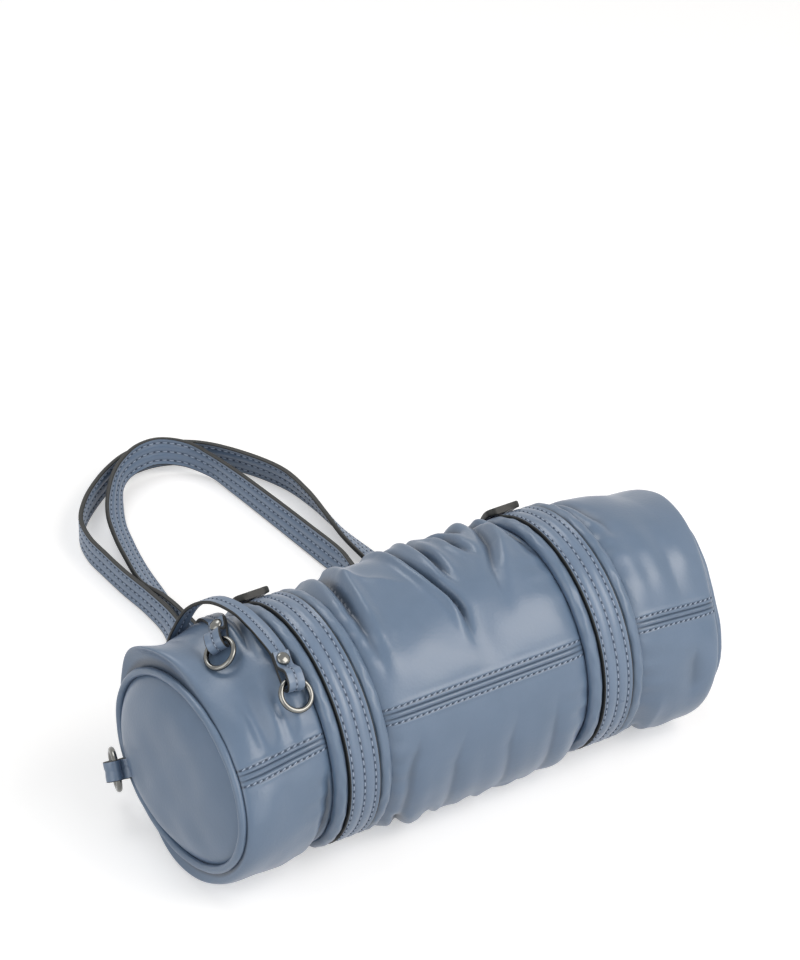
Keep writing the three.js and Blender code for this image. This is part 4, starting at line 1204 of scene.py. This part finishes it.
@dataclass(frozen=True)
class StrapSection:
    """The section of a sewn strap: two padded faces, stitch grooves and painted edges."""

    width: float
    thickness: float
    rows: tuple[float, ...]
    groove: float = 0.45
    edge_round: float = 0.7

    def face(self) -> Array:
        """Half the outline, from one edge to the other: places across and heights."""
        half, round_ = 0.5 * self.width, self.edge_round
        p = np.linspace(-half + round_, half - round_, 37)
        q = np.full(p.shape, 0.5 * self.thickness)
        for row in self.rows:
            q = q - self.groove * bell(p - row, 1.4)
        corner = np.radians([90.0, 60.0, 30.0, 0.0])
        out = half - round_ + round_ * np.cos(corner)
        down = 0.5 * self.thickness - round_ + round_ * np.sin(corner)
        p = np.concatenate([-out[:0:-1], p, out[1:]])
        return np.stack([p, np.concatenate([down[:0:-1], q, down[1:]])], axis=1)

    def outline(self) -> Array:
        """The whole outline, round both faces."""
        top = self.face()
        return np.concatenate([top, np.stack([top[::-1, 0], -top[::-1, 1]], axis=1)])

    def painted(self) -> Array:
        """Which spans of the outline carry edge paint."""
        count = len(self.face())
        spans = np.arange(2 * count)
        across = spans % count
        return (across < 3) | (across >= count - 4)

    def finishes(self, spans: int, closed: bool = False) -> Array:
        """The finish of each face of a strap: 0 for leather and 1 for edge paint."""
        body = np.tile(self.painted().astype(int), spans)
        return body if closed else np.concatenate([body, [1, 1]])

    def painted_shade(self) -> Array:
        """How much painted shade each point of the outline takes in a stitch groove."""
        outline = self.outline()
        depth = sum(bell(outline[:, 0] - row, 0.65) for row in self.rows)
        return np.clip(0.45 * depth, 0.0, 1.0)

    def carried(self, line: Array, lean: Array) -> tuple[Shell, Array, Array, Array]:
        """The strap carried along a line, which is smoothed and stepped evenly.

        Args:
            line: Stations of the strap's middle.
            lean: The wished direction across it at each station.

        Returns:
            The shell, and the points and directions across and out along it.
        """
        curve = smooth_path(np.concatenate([line, lean], axis=1), 0.7)
        across, normal = path_frames(curve[:, :3], curve[:, 3:])
        shell = sweep(curve[:, :3], across, normal, self.outline())
        shell.finishes = self.finishes(len(curve) - 1)
        return shell, curve[:, :3], across, normal


@dataclass
class Bands:
    """The two bands round the barrel: a rolled underlay, and a sewn strap on it."""

    barrel: Barrel
    finishes: Finishes
    radius: float = 60.0
    floor: float = 3.4
    slot: float = 8.5
    underlay_seat: float = 55.1
    underlay: float = 1.5
    half: float = 15.0
    roll_rise: float = 4.7
    section: StrapSection = field(default_factory=lambda: StrapSection(16.5, 3.0, (-6.2, -0.3, 5.6), 0.75))

    def press(self, points: Array, level: Array) -> Array:
        """Lifts points off the floor, each by the depth of the layers under it."""
        floor = self.floor + self.radius - level
        points[..., 2] = soft_floor(points[..., 2] + self.barrel.axis_height, floor, 0.8)
        return points

    def underlay_outline(self) -> Array:
        """The underlay's section: flat under the strap, with a round roll at either edge."""
        strap = 0.5 * self.section.width + 0.2
        middle, reach = 0.5 * (strap + self.half), 0.5 * (self.half - strap)
        turn = np.radians(np.linspace(160.0, -40.0, 13))
        p = middle + reach * np.cos(turn) * 1.03
        q = np.maximum(0.30 * self.roll_rise + 0.70 * self.roll_rise * np.sin(turn), 0.0)
        right = np.stack([p, q], axis=1)
        left = right[::-1] * np.array([-1.0, 1.0])
        inner = np.array([[-strap, 0.0], [strap, 0.0]]) * np.array([0.5, 1.0])
        flat = np.array([[-0.8 * strap, self.underlay], [0.8 * strap, self.underlay]])
        return np.concatenate([left, flat, right, inner[::-1]])

    def round_band(self, x: float, angles: Array, outline: Array, pucker: float) -> Shell:
        """A section (place across, radius) carried round the barrel and pressed at the floor."""
        angle = angles[:, None] + 0.0 * outline[None, :, 0]
        level = outline[None, :, 1] + 0.0 * angle
        arc = np.radians(angle) * self.radius
        swell = unevenness(arc, 3.0 * outline[None, :, 0], 11.0, x / 37.0)
        lifted = level + pucker * swell * smoothstep(8.0, 10.0, np.abs(outline[None, :, 0]))
        points = lifted[..., None] * radial(angle)
        points[..., 0] = x + outline[None, :, 0]
        return tube(self.press(points, level))

    def stitch_row(self, x: float, across: float, angles: Array) -> Shell:
        """One row of stitches round a band, resting in its groove."""
        level = np.full(angles.shape, self.radius - self.section.groove + 0.15)
        path = level[:, None] * radial(angles)
        path[:, 0] = x + across
        path = self.press(path, level)
        x_axis = np.broadcast_to([1.0, 0.0, 0.0], path.shape)
        along = unit(np.gradient(path, axis=0))
        return Stitch().row(path, x_axis, np.cross(x_axis, along))

    def build(self) -> None:
        """Makes both bands and their sewing."""
        start = self.barrel.zip_angle + self.slot
        stop = self.barrel.zip_angle + 360.0 - self.slot
        angles = np.linspace(start, stop, 340)
        strap = self.section.outline() + np.array([0.0, self.radius - 0.5 * self.section.thickness])
        underlay = self.underlay_outline() + np.array([0.0, self.underlay_seat])
        for name, side in SIDES.items():
            x = side * self.barrel.band_x
            shell = self.round_band(x, angles, underlay, 0.35)
            piece = fit(
                f"{name}_band_rolls", shell, [self.finishes.body],
                "bag", Slot.BODY, f"{name}_band_underlay",
            )
            shell = self.round_band(x, angles, strap, 0.0)
            shell.finishes = self.section.finishes(len(angles) - 1)
            # Painted shade along the strap's stitch grooves.
            painted_shade = np.tile(self.section.painted_shade(), len(angles))
            materials = [self.finishes.strap, self.finishes.edge]
            fit(
                f"{name}_band_leather", shell, materials,
                "bag", Slot.STRAP, f"{name}_band_strap", painted_shade=painted_shade,
            )
            rows = [self.stitch_row(x, across, angles) for across in self.section.rows]
            fit(f"{name}_band_stitching", Shell.joined(rows), self.finishes.sewing, "bag", Slot.STRAP)


# Routes of the two handles behind the bag, from right to left: x, y, height of
# the lowest edge, and the direction from the outer to the inner edge.
FLEX_Y, FLEX_Z, LOWER_FLEX = 61.8, 58.2, 34.0
# Where each handle begins to leave the bag, and where it moves wholly with its joint.
UPPER_BEND = ((0.0, 61.8, 60.5), (0.0, 63.2, 50.0))
LOWER_BEND = ((0.0, 30.0, 1.6), (0.0, 40.0, 1.6))
UPPER_ROUTE = (
    (70, FLEX_Y, FLEX_Z - 0.1, -1, 0, 0),
    (70, FLEX_Y + 1, FLEX_Z - 12, -1, 0, 0),
    (70, FLEX_Y + 4, FLEX_Z - 28, -1, 0, 0),
    (70.5, FLEX_Y + 13, FLEX_Z - 43, -1, 0, 0),
    (71, 92, 5.6, -1, 0, 0),
    (70.5, 113, 1.8, -1, 0, 0.05),
    (66.5, 138, 0.3, -13, -2, 4),
    (63.5, 160, 0.3, -12, -4, 7),
    (61.8, 180, 0.3, -10, -5, 9),
    (61.5, 200, 0.3, -7, -5, 12),
    (62, 222, 0.3, -5, -3, 14),
    (59.5, 246, 0.3, -3, -1, 15),
    (47, 274, 0.3, -3, 0, 15),
    (31, 293, 0.3, -1, 0, 15),
    (12, 302.5, 0.3, 0, 0.5, 15),
    (-6, 302, 0.3, 0, 1, 15),
    (-22, 294.5, 0.3, 0.5, 1, 15),
    (-38, 282, 0.3, 0.5, 1, 15),
    (-49, 270.5, 0.3, 1, 1, 15),
    (-57.5, 257, 0.3, 0.5, 0.5, 15),
    (-61.3, 240, 0.3, 0.5, 0, 15),
    (-61, 222, 0.3, 0.5, 0, 15),
    (-60, 203, 0.3, 0.5, 0, 15),
    (-57.8, 181, 0.3, 1, 0, 15),
    (-57.5, 160, 0.3, 3, 0, 15),
    (-61.5, 138, 0.6, 9, 0, 12),
    (-67.5, 113, 1.9, 15, 0, 5),
    (-69.5, 92, 6, 1, 0, 0.05),
    (-70, FLEX_Y + 13, FLEX_Z - 43, 1, 0, 0),
    (-70, FLEX_Y + 4, FLEX_Z - 28, 1, 0, 0),
    (-70, FLEX_Y + 1, FLEX_Z - 12, 1, 0, 0),
    (-70, FLEX_Y, FLEX_Z - 0.1, 1, 0, 0),
)
LOWER_ROUTE = (
    (70, LOWER_FLEX, 0.1, -1, 0, 0),
    (70, LOWER_FLEX + 16, 0.2, -1, 0, 0),
    (63, 78, 0.3, -15, 0, 1),
    (54, 105, 0.3, -14, 0, 7),
    (47, 135, 0.3, -8, 0, 14),
    (44.5, 163, 0.3, 3, 0, 15),
    (42, 190, 0.3, 3.2, 0, 15),
    (39.2, 220, 0.3, 2.4, 0, 15),
    (35, 257, 0.6, 0.8, 0, 15),
    (31, 276, 1.8, -1, 1, 15),
    (23, 288.5, 4.5, 0, 2, 15),
    (10, 297, 6, 2, 3, 14),
    (-1, 297, 6, 0, 3, 14),
    (-12, 293, 5, -4, -1, 14),
    (-20, 286.5, 3.5, -6, -3, 13),
    (-28.5, 274, 1.5, -9, -4, 11),
    (-36, 258.5, 0.5, -10.5, -4, 10),
    (-41, 241, 0.3, -11, -5, 9),
    (-45, 222, 0.3, -11, -6, 8.6),
    (-48.5, 196, 0.3, -11, -7, 8.4),
    (-49.5, 172, 0.3, -6, -4, 14),
    (-52, 148, 0.3, 3, 0, 15.5),
    (-54, 122, 0.3, 10, 0, 12),
    (-58, 98, 0.3, 15, 0, 5),
    (-66, 70, 0.3, 16, 0, 0.5),
    (-70, LOWER_FLEX + 14, 0.2, 1, 0, 0),
    (-70, LOWER_FLEX, 0.1, 1, 0, 0),
)


@dataclass
class Handles:
    """The two handles: each a strap in one piece, sewn to both bands at its ends."""

    barrel: Barrel
    finishes: Finishes
    section: StrapSection = field(default_factory=lambda: StrapSection(15.5, 2.6, (-5.0, 0.0, 5.0), 0.45))
    seat: float = 61.9
    tip_angle: float = 127.0
    tip_lift: float = 0.4
    tip_corner: float = 4.0
    tip_reach: float = 24.0
    tip_flare: float = 0.18
    tip_swell: float = 0.3
    tip_drift: float = -3.0
    tip_curl: float = 13.0
    flex_angle: float = 177.0
    sewn: float = 52.0
    spacing: float = 1.5
    tip_paint: int = 3

    def lying(self, route: Stations) -> tuple[Array, Array]:
        """Points and leans of a handle's free part, its lowest edge at the stated height."""
        rows = np.array(route, dtype=float)
        rows[:, 3:] = unit(rows[:, 3:])
        curve = smooth_path(rows, self.spacing)
        path, lean = curve[:, :3].copy(), curve[:, 3:]
        across, normal = path_frames(path, lean)
        width, thickness = self.section.width, self.section.thickness
        path[:, 2] += 0.5 * (np.abs(across[:, 2]) * width + np.abs(normal[:, 2]) * thickness)
        return path, lean

    def upper_tab(self, side: float) -> Array:
        """The upper handle's sewn end, on the back of a band, from its tip to the flex."""
        angles = np.arange(self.tip_angle, self.flex_angle, math.degrees(self.spacing / self.seat))
        along = np.radians(angles - self.tip_angle) * self.seat
        lifted = self.seat + self.tip_lift * (1.0 - smoothstep(0.0, self.tip_curl, along))
        points = lifted[:, None] * radial(angles)
        points[:, 0] = side * self.barrel.band_x + self.tip_drift * (1.0 - smoothstep(0.0, 30.0, along))
        points[:, 2] += self.barrel.axis_height
        return points

    def lower_tab(self, side: float) -> Array:
        """The lower handle's sewn end, flat under a band, from its tip to the flex."""
        ys = np.arange(LOWER_FLEX - self.sewn, LOWER_FLEX - 0.5 * self.spacing, self.spacing)
        x, z = side * self.barrel.band_x, 0.5 * self.section.thickness + 0.1
        return np.stack([np.full(ys.shape, x), ys, np.full(ys.shape, z)], axis=1)

    def strap(
        self, tabs: tuple[Array, Array], route: Stations, proud: float
    ) -> tuple[Array, Array, Array, Array]:
        """The whole strap's path, its frames, and the scale of its section at each place.

        Args:
            tabs: The sewn ends on the right and left bands, each from its tip.
            route: Stations of the free part, from right to left.
            proud: How far the tips swell: 1 for standing tips and 0 for flat ones.

        Returns:
            Points, directions across and out of the strap, and scales of its width and thickness.
        """
        path, lean = self.lying(route)
        right, left = tabs
        points = np.concatenate([right, path, left[::-1]])
        lean = np.concatenate([np.tile(lean[:1], (len(right), 1)), lean, np.tile(lean[-1:], (len(left), 1))])
        across, normal = path_frames(points, lean)
        steps = np.linalg.norm(np.diff(points, axis=0), axis=1)
        along = np.concatenate([[0.0], np.cumsum(steps)])
        from_tip = np.minimum(along, along[-1] - along)
        back = np.clip(1.0 - from_tip / self.tip_corner, 0.0, 0.97)
        corner = self.tip_corner / (0.5 * self.section.width)
        ending = proud * (1.0 - smoothstep(0.0, self.tip_reach, from_tip))
        scale = np.stack([1.0 + self.tip_flare * ending, 1.0 + self.tip_swell * ending], axis=1)
        scale[:, 0] *= 1.0 - corner * (1.0 - np.sqrt(1.0 - back**2))
        return points, across, normal, scale

    def make(self, name: str, tabs: tuple[Array, Array], route: Stations, bend: Stations) -> None:
        """Makes one handle and its stitching.

        Args:
            name: Upper or lower.
            tabs: The sewn ends.
            route: Stations of the free part.
            bend: Where it begins to leave the bag, and where it moves wholly with its joint; not used.
        """
        points, across, normal, scale = self.strap(tabs, route, float(name == "upper"))
        grooved, plain = self.section.outline(), replace(self.section, rows=()).outline()
        ending = ((scale[:, 1:] - 1.0) / self.tip_swell)[:, :, None]
        outline = (grooved + (plain - grooved) * ending) * scale[:, None, :]
        shell = sweep(points, across, normal, outline)
        shell.finishes = self.section.finishes(len(points) - 1)
        around = len(self.section.outline())
        shell.finishes[: self.tip_paint * around] = 1
        shell.finishes[-2 - self.tip_paint * around :] = 1
        # Painted shade along the strap's stitch grooves.
        painted_shade = np.tile(self.section.painted_shade(), len(points))
        materials = [self.finishes.strap, self.finishes.edge]
        leather = make_piece(f"{name}_handle_leather", shell, materials, painted_shade)
        sewn = slice(8, len(points) - 8)
        lift = (0.5 * self.section.thickness - self.section.groove + 0.12) * scale[:, 1:]
        rows = [
            Stitch().row(
                (points + row * scale[:, :1] * across + face * lift * normal)[sewn],
                across[sewn],
                face * normal[sewn],
            )
            for row in self.section.rows
            for face in (1.0, -1.0)
        ]
        stitching = make_piece(f"{name}_handle_stitching", Shell.joined(rows), self.finishes.sewing)
        for piece in (leather, stitching):
            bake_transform(piece)
        nodes = [f"{name}_handle_strap", f"{name}_handle_tab_left", f"{name}_handle_tab_right"]
        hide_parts(*nodes)

    def build(self) -> None:
        """Makes both handles."""
        upper = (self.upper_tab(1.0), self.upper_tab(-1.0))
        self.make("upper", upper, UPPER_ROUTE, UPPER_BEND)
        lower = (self.lower_tab(1.0), self.lower_tab(-1.0))
        self.make("lower", lower, LOWER_ROUTE, LOWER_BEND)


# Ties and end rings


def ring_bow(ring: float, width: float) -> float:
    """How far a ring curves away across the width of a strap."""
    return ring - math.sqrt(ring * ring - 0.25 * width * width)


def loop_half(ring: float, wire: float, width: float) -> float:
    """Half the inside of a folded loop: the wire, with room for the ring's curve."""
    return ring_bow(ring, width) + wire + 0.35


def hung_ring(seat: Array, down: Array, out: Array, tilt: float, ring: float, wire: float) -> Shell:
    """A ring that hangs in a fold.

    Args:
        seat: Where the fold holds it.
        down: The direction that it hangs in.
        out: The direction that it faces.
        tilt: How far both are turned, in degrees.
        ring: Its radius at the middle of the wire.
        wire: The wire's radius.

    Returns:
        The ring.
    """
    turn = math.radians(tilt)
    hang = math.cos(turn) * down - math.sin(turn) * out
    face = math.cos(turn) * out + math.sin(turn) * down
    return torus(seat + ring * hang, face, ring, wire)


def bight(ahead: float, turn: float) -> Array:
    """A half round turn of a folded strap, in the plane of its reach and its outward side."""
    angles = np.radians(np.linspace(-90.0, 90.0, 11))
    return np.stack([ahead + turn * np.cos(angles), turn * np.sin(angles)], axis=1)


@dataclass(frozen=True)
class TieShape:
    """A tie's way over the leather, and where its ring hangs."""

    stations: Stations
    end_x: float
    end_angle: float
    drift: float
    lift: float


LIE = 1.1
TIES = {
    "long": TieShape(
        ((-112.5, 156, -1.5), (-112, 152, LIE), (-110.5, 142, 5.5), (-105, 130, 11), (-98.5, 118, 10.8),
         (-92.8, 106, 6.8), (-90.8, 96, 3.6), (-90.8, 84, 3)), -93.0, 58.0, -0.12, LIE),
    "short": TieShape(
        ((-96.8, 150, -0.5), (-97, 146, LIE), (-98, 138, 2.4), (-99.5, 128, 3)),
        -108.5, 100.0, -0.7, LIE + 0.9),
}


@dataclass
class Ties:
    """Two leather ties over the left end, each folded round a ring and riveted."""

    barrel: Barrel
    finishes: Finishes
    section: StrapSection = field(default_factory=lambda: StrapSection(8.6, 1.7, (0.0,), 0.3, 0.4))
    ring: float = 7.4
    wire: float = 1.1
    plating: float = 0.2
    drop: float = 12.0
    fold: float = 15.0
    rivet_set: float = 11.0
    rivet_head: float = 3.2
    strap: float = 1.4

    def over_leather(self, stations: Array) -> Array:
        """Points lifted off the highest leather under the tie's width."""
        x, angle, lift = stations.T
        sides = [self.barrel.solid_point(x + s * self.section.width, angle, lift) for s in (-0.5, 0.0, 0.5)]
        middle = np.array([0.0, 0.0, self.barrel.axis_height])
        tall = np.max([np.linalg.norm((p - middle)[:, 1:], axis=1) for p in sides], axis=0)
        points = sides[1]
        reach = np.linalg.norm((points - middle)[:, 1:], axis=1)
        points[:, 1:] = middle[1:] + (points - middle)[:, 1:] * (tall / reach)[:, None]
        return points

    def leather_normal(self, x: float, angle: float) -> Array:
        """The direction out of the solid model's leather, from its slopes both ways."""
        xs, angles = np.array([x + 1.0, x - 1.0, x, x]), np.array([angle, angle, angle + 1.0, angle - 1.0])
        points = self.barrel.solid_point(xs, angles, np.zeros(4))
        return unit(np.cross(points[0] - points[1], points[2] - points[3]))

    def make(self, name: str, shape: TieShape) -> None:
        """Makes one tie with its stitching, rivet and ring.

        Args:
            name: Long or short.
            shape: The tie's way.
        """
        turn = loop_half(self.ring, self.wire, self.section.width) + 0.5 * self.strap
        lead = self.over_leather(np.array(shape.stations, dtype=float))
        out = self.leather_normal(shape.end_x, shape.end_angle)
        end = np.array([shape.end_x]), np.array([shape.end_angle]), np.zeros(1)
        seat = self.barrel.solid_point(*end)[0] + (shape.lift + turn) * out
        angle = math.radians(shape.end_angle)
        toward = np.array([shape.drift, -math.sin(angle), -math.cos(angle)])
        reach = unit(toward - np.dot(toward, out) * out)
        side = np.cross(reach, out)
        bow = ring_bow(self.ring, self.section.width)
        level = self.strap + 0.4 - turn
        flat = np.concatenate([
            [[-self.fold, -turn], [-self.rivet_set, -turn]],
            bight(bow + 0.1, turn),
            [[-bow - self.wire, turn], [-self.rivet_set + self.rivet_head, level], [-self.fold, level]],
        ])
        folded = seat + flat[:, :1] * reach + flat[:, 1:] * out
        line = np.concatenate([lead, folded])
        along = unit(np.gradient(line, axis=0))
        outward = line * np.array([0.0, 1.0, 1.0]) - np.array([0.0, 0.0, self.barrel.axis_height])
        lean = unit(np.cross(along, outward))
        lean[len(lead):] = side
        shell, curve, across, normal = self.section.carried(line, lean)
        # Painted shade along the strap's stitch grooves.
        painted_shade = np.tile(self.section.painted_shade(), len(curve))
        fit(
            f"{name}_tie_leather", shell, [self.finishes.strap, self.finishes.edge],
            f"{name}_tie", Slot.STRAP, f"{name}_tie", painted_shade=painted_shade,
        )
        lift = 0.5 * self.section.thickness - self.section.groove + 0.1
        sewn = slice(8, len(curve) - 3)
        row = Shell.joined([
            TIE_STITCH.row(
                (curve + face * lift * normal)[sewn], across[sewn], face * normal[sewn]
            )
            for face in (1.0, -1.0)
        ])
        fit(f"{name}_tie_stitching", row, self.finishes.sewing, f"{name}_tie", Slot.STRAP)
        self.rivet(name, seat - self.rivet_set * reach, out, level, turn)
        ring = hung_ring(seat, reach, out, self.drop, self.ring, self.wire + self.plating)
        fit(
            f"{name}_tie_ring_wire", ring, [self.finishes.nickel],
            f"{name}_tie_ring", Slot.METAL, f"{name}_tie_ring",
        )

    def rivet(self, name: str, base: Array, out: Array, level: float, turn: float) -> None:
        """A domed rivet through a tie's two layers."""
        top = level + 0.5 * self.section.thickness + 0.1
        head = self.rivet_head
        profile = (
            (0.05, -turn), (1.4, -turn), (1.4, top), (head, top), (head, top + 0.35),
            (0.93 * head, top + 0.75), (0.7 * head, top + 1.2), (0.36 * head, top + 1.48), (0.05, top + 1.55),
        )
        fit(
            f"{name}_tie_rivet_head", lathe(base, out, profile), [self.finishes.nickel],
            f"{name}_tie", Slot.METAL, f"{name}_tie_rivet",
        )

    def build(self) -> None:
        """Makes both ties."""
        for name, shape in TIES.items():
            self.make(name, shape)


@dataclass
class EndRings:
    """A ring at either end, held by a small leather tab."""

    barrel: Barrel
    finishes: Finishes
    section: StrapSection = field(default_factory=lambda: StrapSection(10.0, 1.8, (0.0,), 0.3, 0.4))
    angle: float = 215.0
    radius: float = 53.0
    reach: float = 7.5
    strap: float = 1.6
    ring: float = 9.7
    wire: float = 1.3
    plating: float = 0.15
    lean: float = 20.0

    def build(self) -> None:
        """Makes both tabs and both rings."""
        half = loop_half(self.ring, self.wire, self.section.width)
        turn = half + 0.5 * self.strap
        bow = ring_bow(self.ring, self.section.width)
        root = -self.reach - 3.5
        flat = np.concatenate([[[root, turn], [0.5 * root, turn]], bight(bow + 0.1, turn),
                               [[0.5 * root, -turn], [root, -turn]]])
        for name, side in SIDES.items():
            lean = math.radians(self.barrel.end_lean)
            ahead = side * np.array([math.cos(lean), 0.0, -math.sin(lean)])
            out = radial(self.angle)
            root_point = self.radius * out + np.array([0.0, 0.0, self.barrel.axis_height])
            root_point[0] = side * self.barrel.end_plane + self.barrel.lean(root_point[2])
            seat = root_point + self.reach * ahead
            out = unit(out - np.dot(out, ahead) * ahead)
            line = seat + flat[:, :1] * ahead + flat[:, 1:] * out
            sides = np.broadcast_to(np.cross(ahead, out), line.shape)
            shell = self.section.carried(line, sides)[0]
            fit(
                f"{name}_end_tab_leather", shell, [self.finishes.strap, self.finishes.edge],
                "bag", Slot.STRAP, f"{name}_end_tab",
            )
            ring = hung_ring(seat, out, ahead, self.lean, self.ring, self.wire + self.plating)
            fit(
                f"{name}_end_ring_wire", ring, [self.finishes.nickel],
                f"{name}_end_ring", Slot.METAL, f"{name}_end_ring",
            )


class ZipParts:
    """The zip, whose solids keep their shape and take their finishes here."""

    tapes = ("upper_zip_tape", "lower_zip_tape")
    metal = (
        "upper_zip_teeth", "lower_zip_teeth", "left_zip_stop", "right_zip_stop",
        "zip_slider", "zip_slider_back", "zip_pull",
    )

    def __init__(self, finishes: Finishes) -> None:
        """Keeps the finishes that the zip takes."""
        self.finishes = finishes

    def build(self) -> None:
        """Gives the tapes their weave and the metal its plate."""
        for node in self.tapes:
            give(node, self.finishes.tape)
        for node in self.metal:
            give(node, self.finishes.nickel)


# Studio


@dataclass(frozen=True)
class SoftBox:
    """A square soft light that looks at the bag from a direction."""

    name: str
    direction: tuple[float, float, float]
    distance: float
    size: float
    power: float
    tint: str = "#ffffff"

    def build(self, target: Vector) -> None:
        """Hangs the light and turns it to the target."""
        light = bpy.data.lights.new(self.name, "AREA")
        light.shape = "SQUARE"
        light.size = self.size
        light.energy = self.power
        light.color = linear(self.tint)[:3]
        lamp = bpy.data.objects.new(self.name, light)
        offset = Vector(self.direction).normalized()
        lamp.location = target + self.distance * offset
        lamp.rotation_euler = (-offset).to_track_quat("-Z", "Y").to_euler()
        bpy.context.scene.collection.objects.link(lamp)


@dataclass
class Studio:
    """The camera at the photograph's angle, the white floor and the soft lights."""

    eye: tuple[float, float, float] = (-0.7230, -1.1667, 1.0638)
    aim: tuple[float, float, float] = (0.0154, 0.0512, 0.1308)
    lens: float = 133.3
    floor_half: float = 6.0
    floor_colour: str = "#e4e4e4"
    floor_glow: float = 0.44
    sky: float = 0.22
    boxes: tuple[SoftBox, ...] = (
        SoftBox("key soft box", (0.42, -0.60, 0.68), 1.5, 1.0, 14.0, "#fff9f3"),
        SoftBox("overhead soft box", (-0.1, 0.7, 1.0), 1.7, 0.8, 7.5),
        SoftBox("left fill", (-1.0, -0.25, 0.5), 1.6, 1.2, 8.0),
        SoftBox("front fill", (0.1, -1.0, 0.2), 1.8, 1.4, 7.5),
    )

    def seen_directly(self, tree: bpy.types.NodeTree) -> bpy.types.NodeSocket:
        """One for rays from the camera, from mirrors and through glass, else zero."""
        rays = add_node(tree, "ShaderNodeLightPath")
        shown = rays.outputs["Is Camera Ray"]
        for kind in ("Is Glossy Ray", "Is Transmission Ray"):
            either = {0: shown, 1: rays.outputs[kind]}
            shown = add_node(tree, "ShaderNodeMath", either, operation="MAXIMUM").outputs[0]
        return shown

    def build(self) -> None:
        """Sets the camera, the floor, the white surround and the lights."""
        scene = bpy.context.scene
        scene.view_settings.view_transform = "Standard"
        camera = bpy.data.objects.new("camera", bpy.data.cameras.new("camera"))
        camera.data.lens = self.lens
        camera.location = self.eye
        look = Vector(self.aim) - Vector(self.eye)
        camera.rotation_euler = look.to_track_quat("-Z", "Y").to_euler()
        scene.collection.objects.link(camera)
        scene.camera = camera
        self.floor()
        self.surround(scene)
        for box in self.boxes:
            box.build(Vector((0.0, 0.05, 0.06)))

    def floor(self) -> None:
        """A plain white floor that shows the bag's soft shadow."""
        half = self.floor_half / MM
        corners = np.array([[-half, -half, 0.0], [half, -half, 0.0], [half, half, 0.0], [-half, half, 0.0]])
        material, tree = new_material("matt white studio floor")
        shown = self.seen_directly(tree)
        glow = add_node(tree, "ShaderNodeMath", {0: shown, 1: self.floor_glow}, operation="MULTIPLY")
        shader = add_node(tree, "ShaderNodeBsdfPrincipled", {
            "Base Color": linear(self.floor_colour),
            "Roughness": 0.9,
            "Emission Color": linear("#ffffff"),
            "Emission Strength": glow.outputs[0],
        })
        add_node(tree, "ShaderNodeOutputMaterial", {"Surface": shader.outputs[0]})
        make_piece("studio_floor", Shell(corners, [[0, 1, 2, 3]]), [material])

    def surround(self, scene: bpy.types.Scene) -> None:
        """A white surround that lights softly and is plain white where it is seen."""
        world = bpy.data.worlds.new("white surround")
        world.use_nodes = True
        tree = world.node_tree
        tree.nodes.clear()
        shown = self.seen_directly(tree)
        strength = add_node(tree, "ShaderNodeMapRange", {0: shown, 3: self.sky, 4: 1.0})
        light = add_node(tree, "ShaderNodeBackground", {0: linear("#ffffff"), 1: strength.outputs[0]})
        add_node(tree, "ShaderNodeOutputWorld", {0: light.outputs[0]})
        scene.world = world


def main() -> None:
    """Builds the studio and the bag."""
    logging.basicConfig(level=logging.INFO, format="%(name)s: %(message)s")
    Studio().build()
    finishes = Finishes()
    barrel = Barrel()
    assemblies = (
        Body(barrel, finishes), EndCaps(barrel, finishes), Bands(barrel, finishes),
        Handles(barrel, finishes), Ties(barrel, finishes), EndRings(barrel, finishes), ZipParts(finishes),
    )
    for assembly in assemblies:
        assembly.build()


if __name__ == "__main__":
    main()
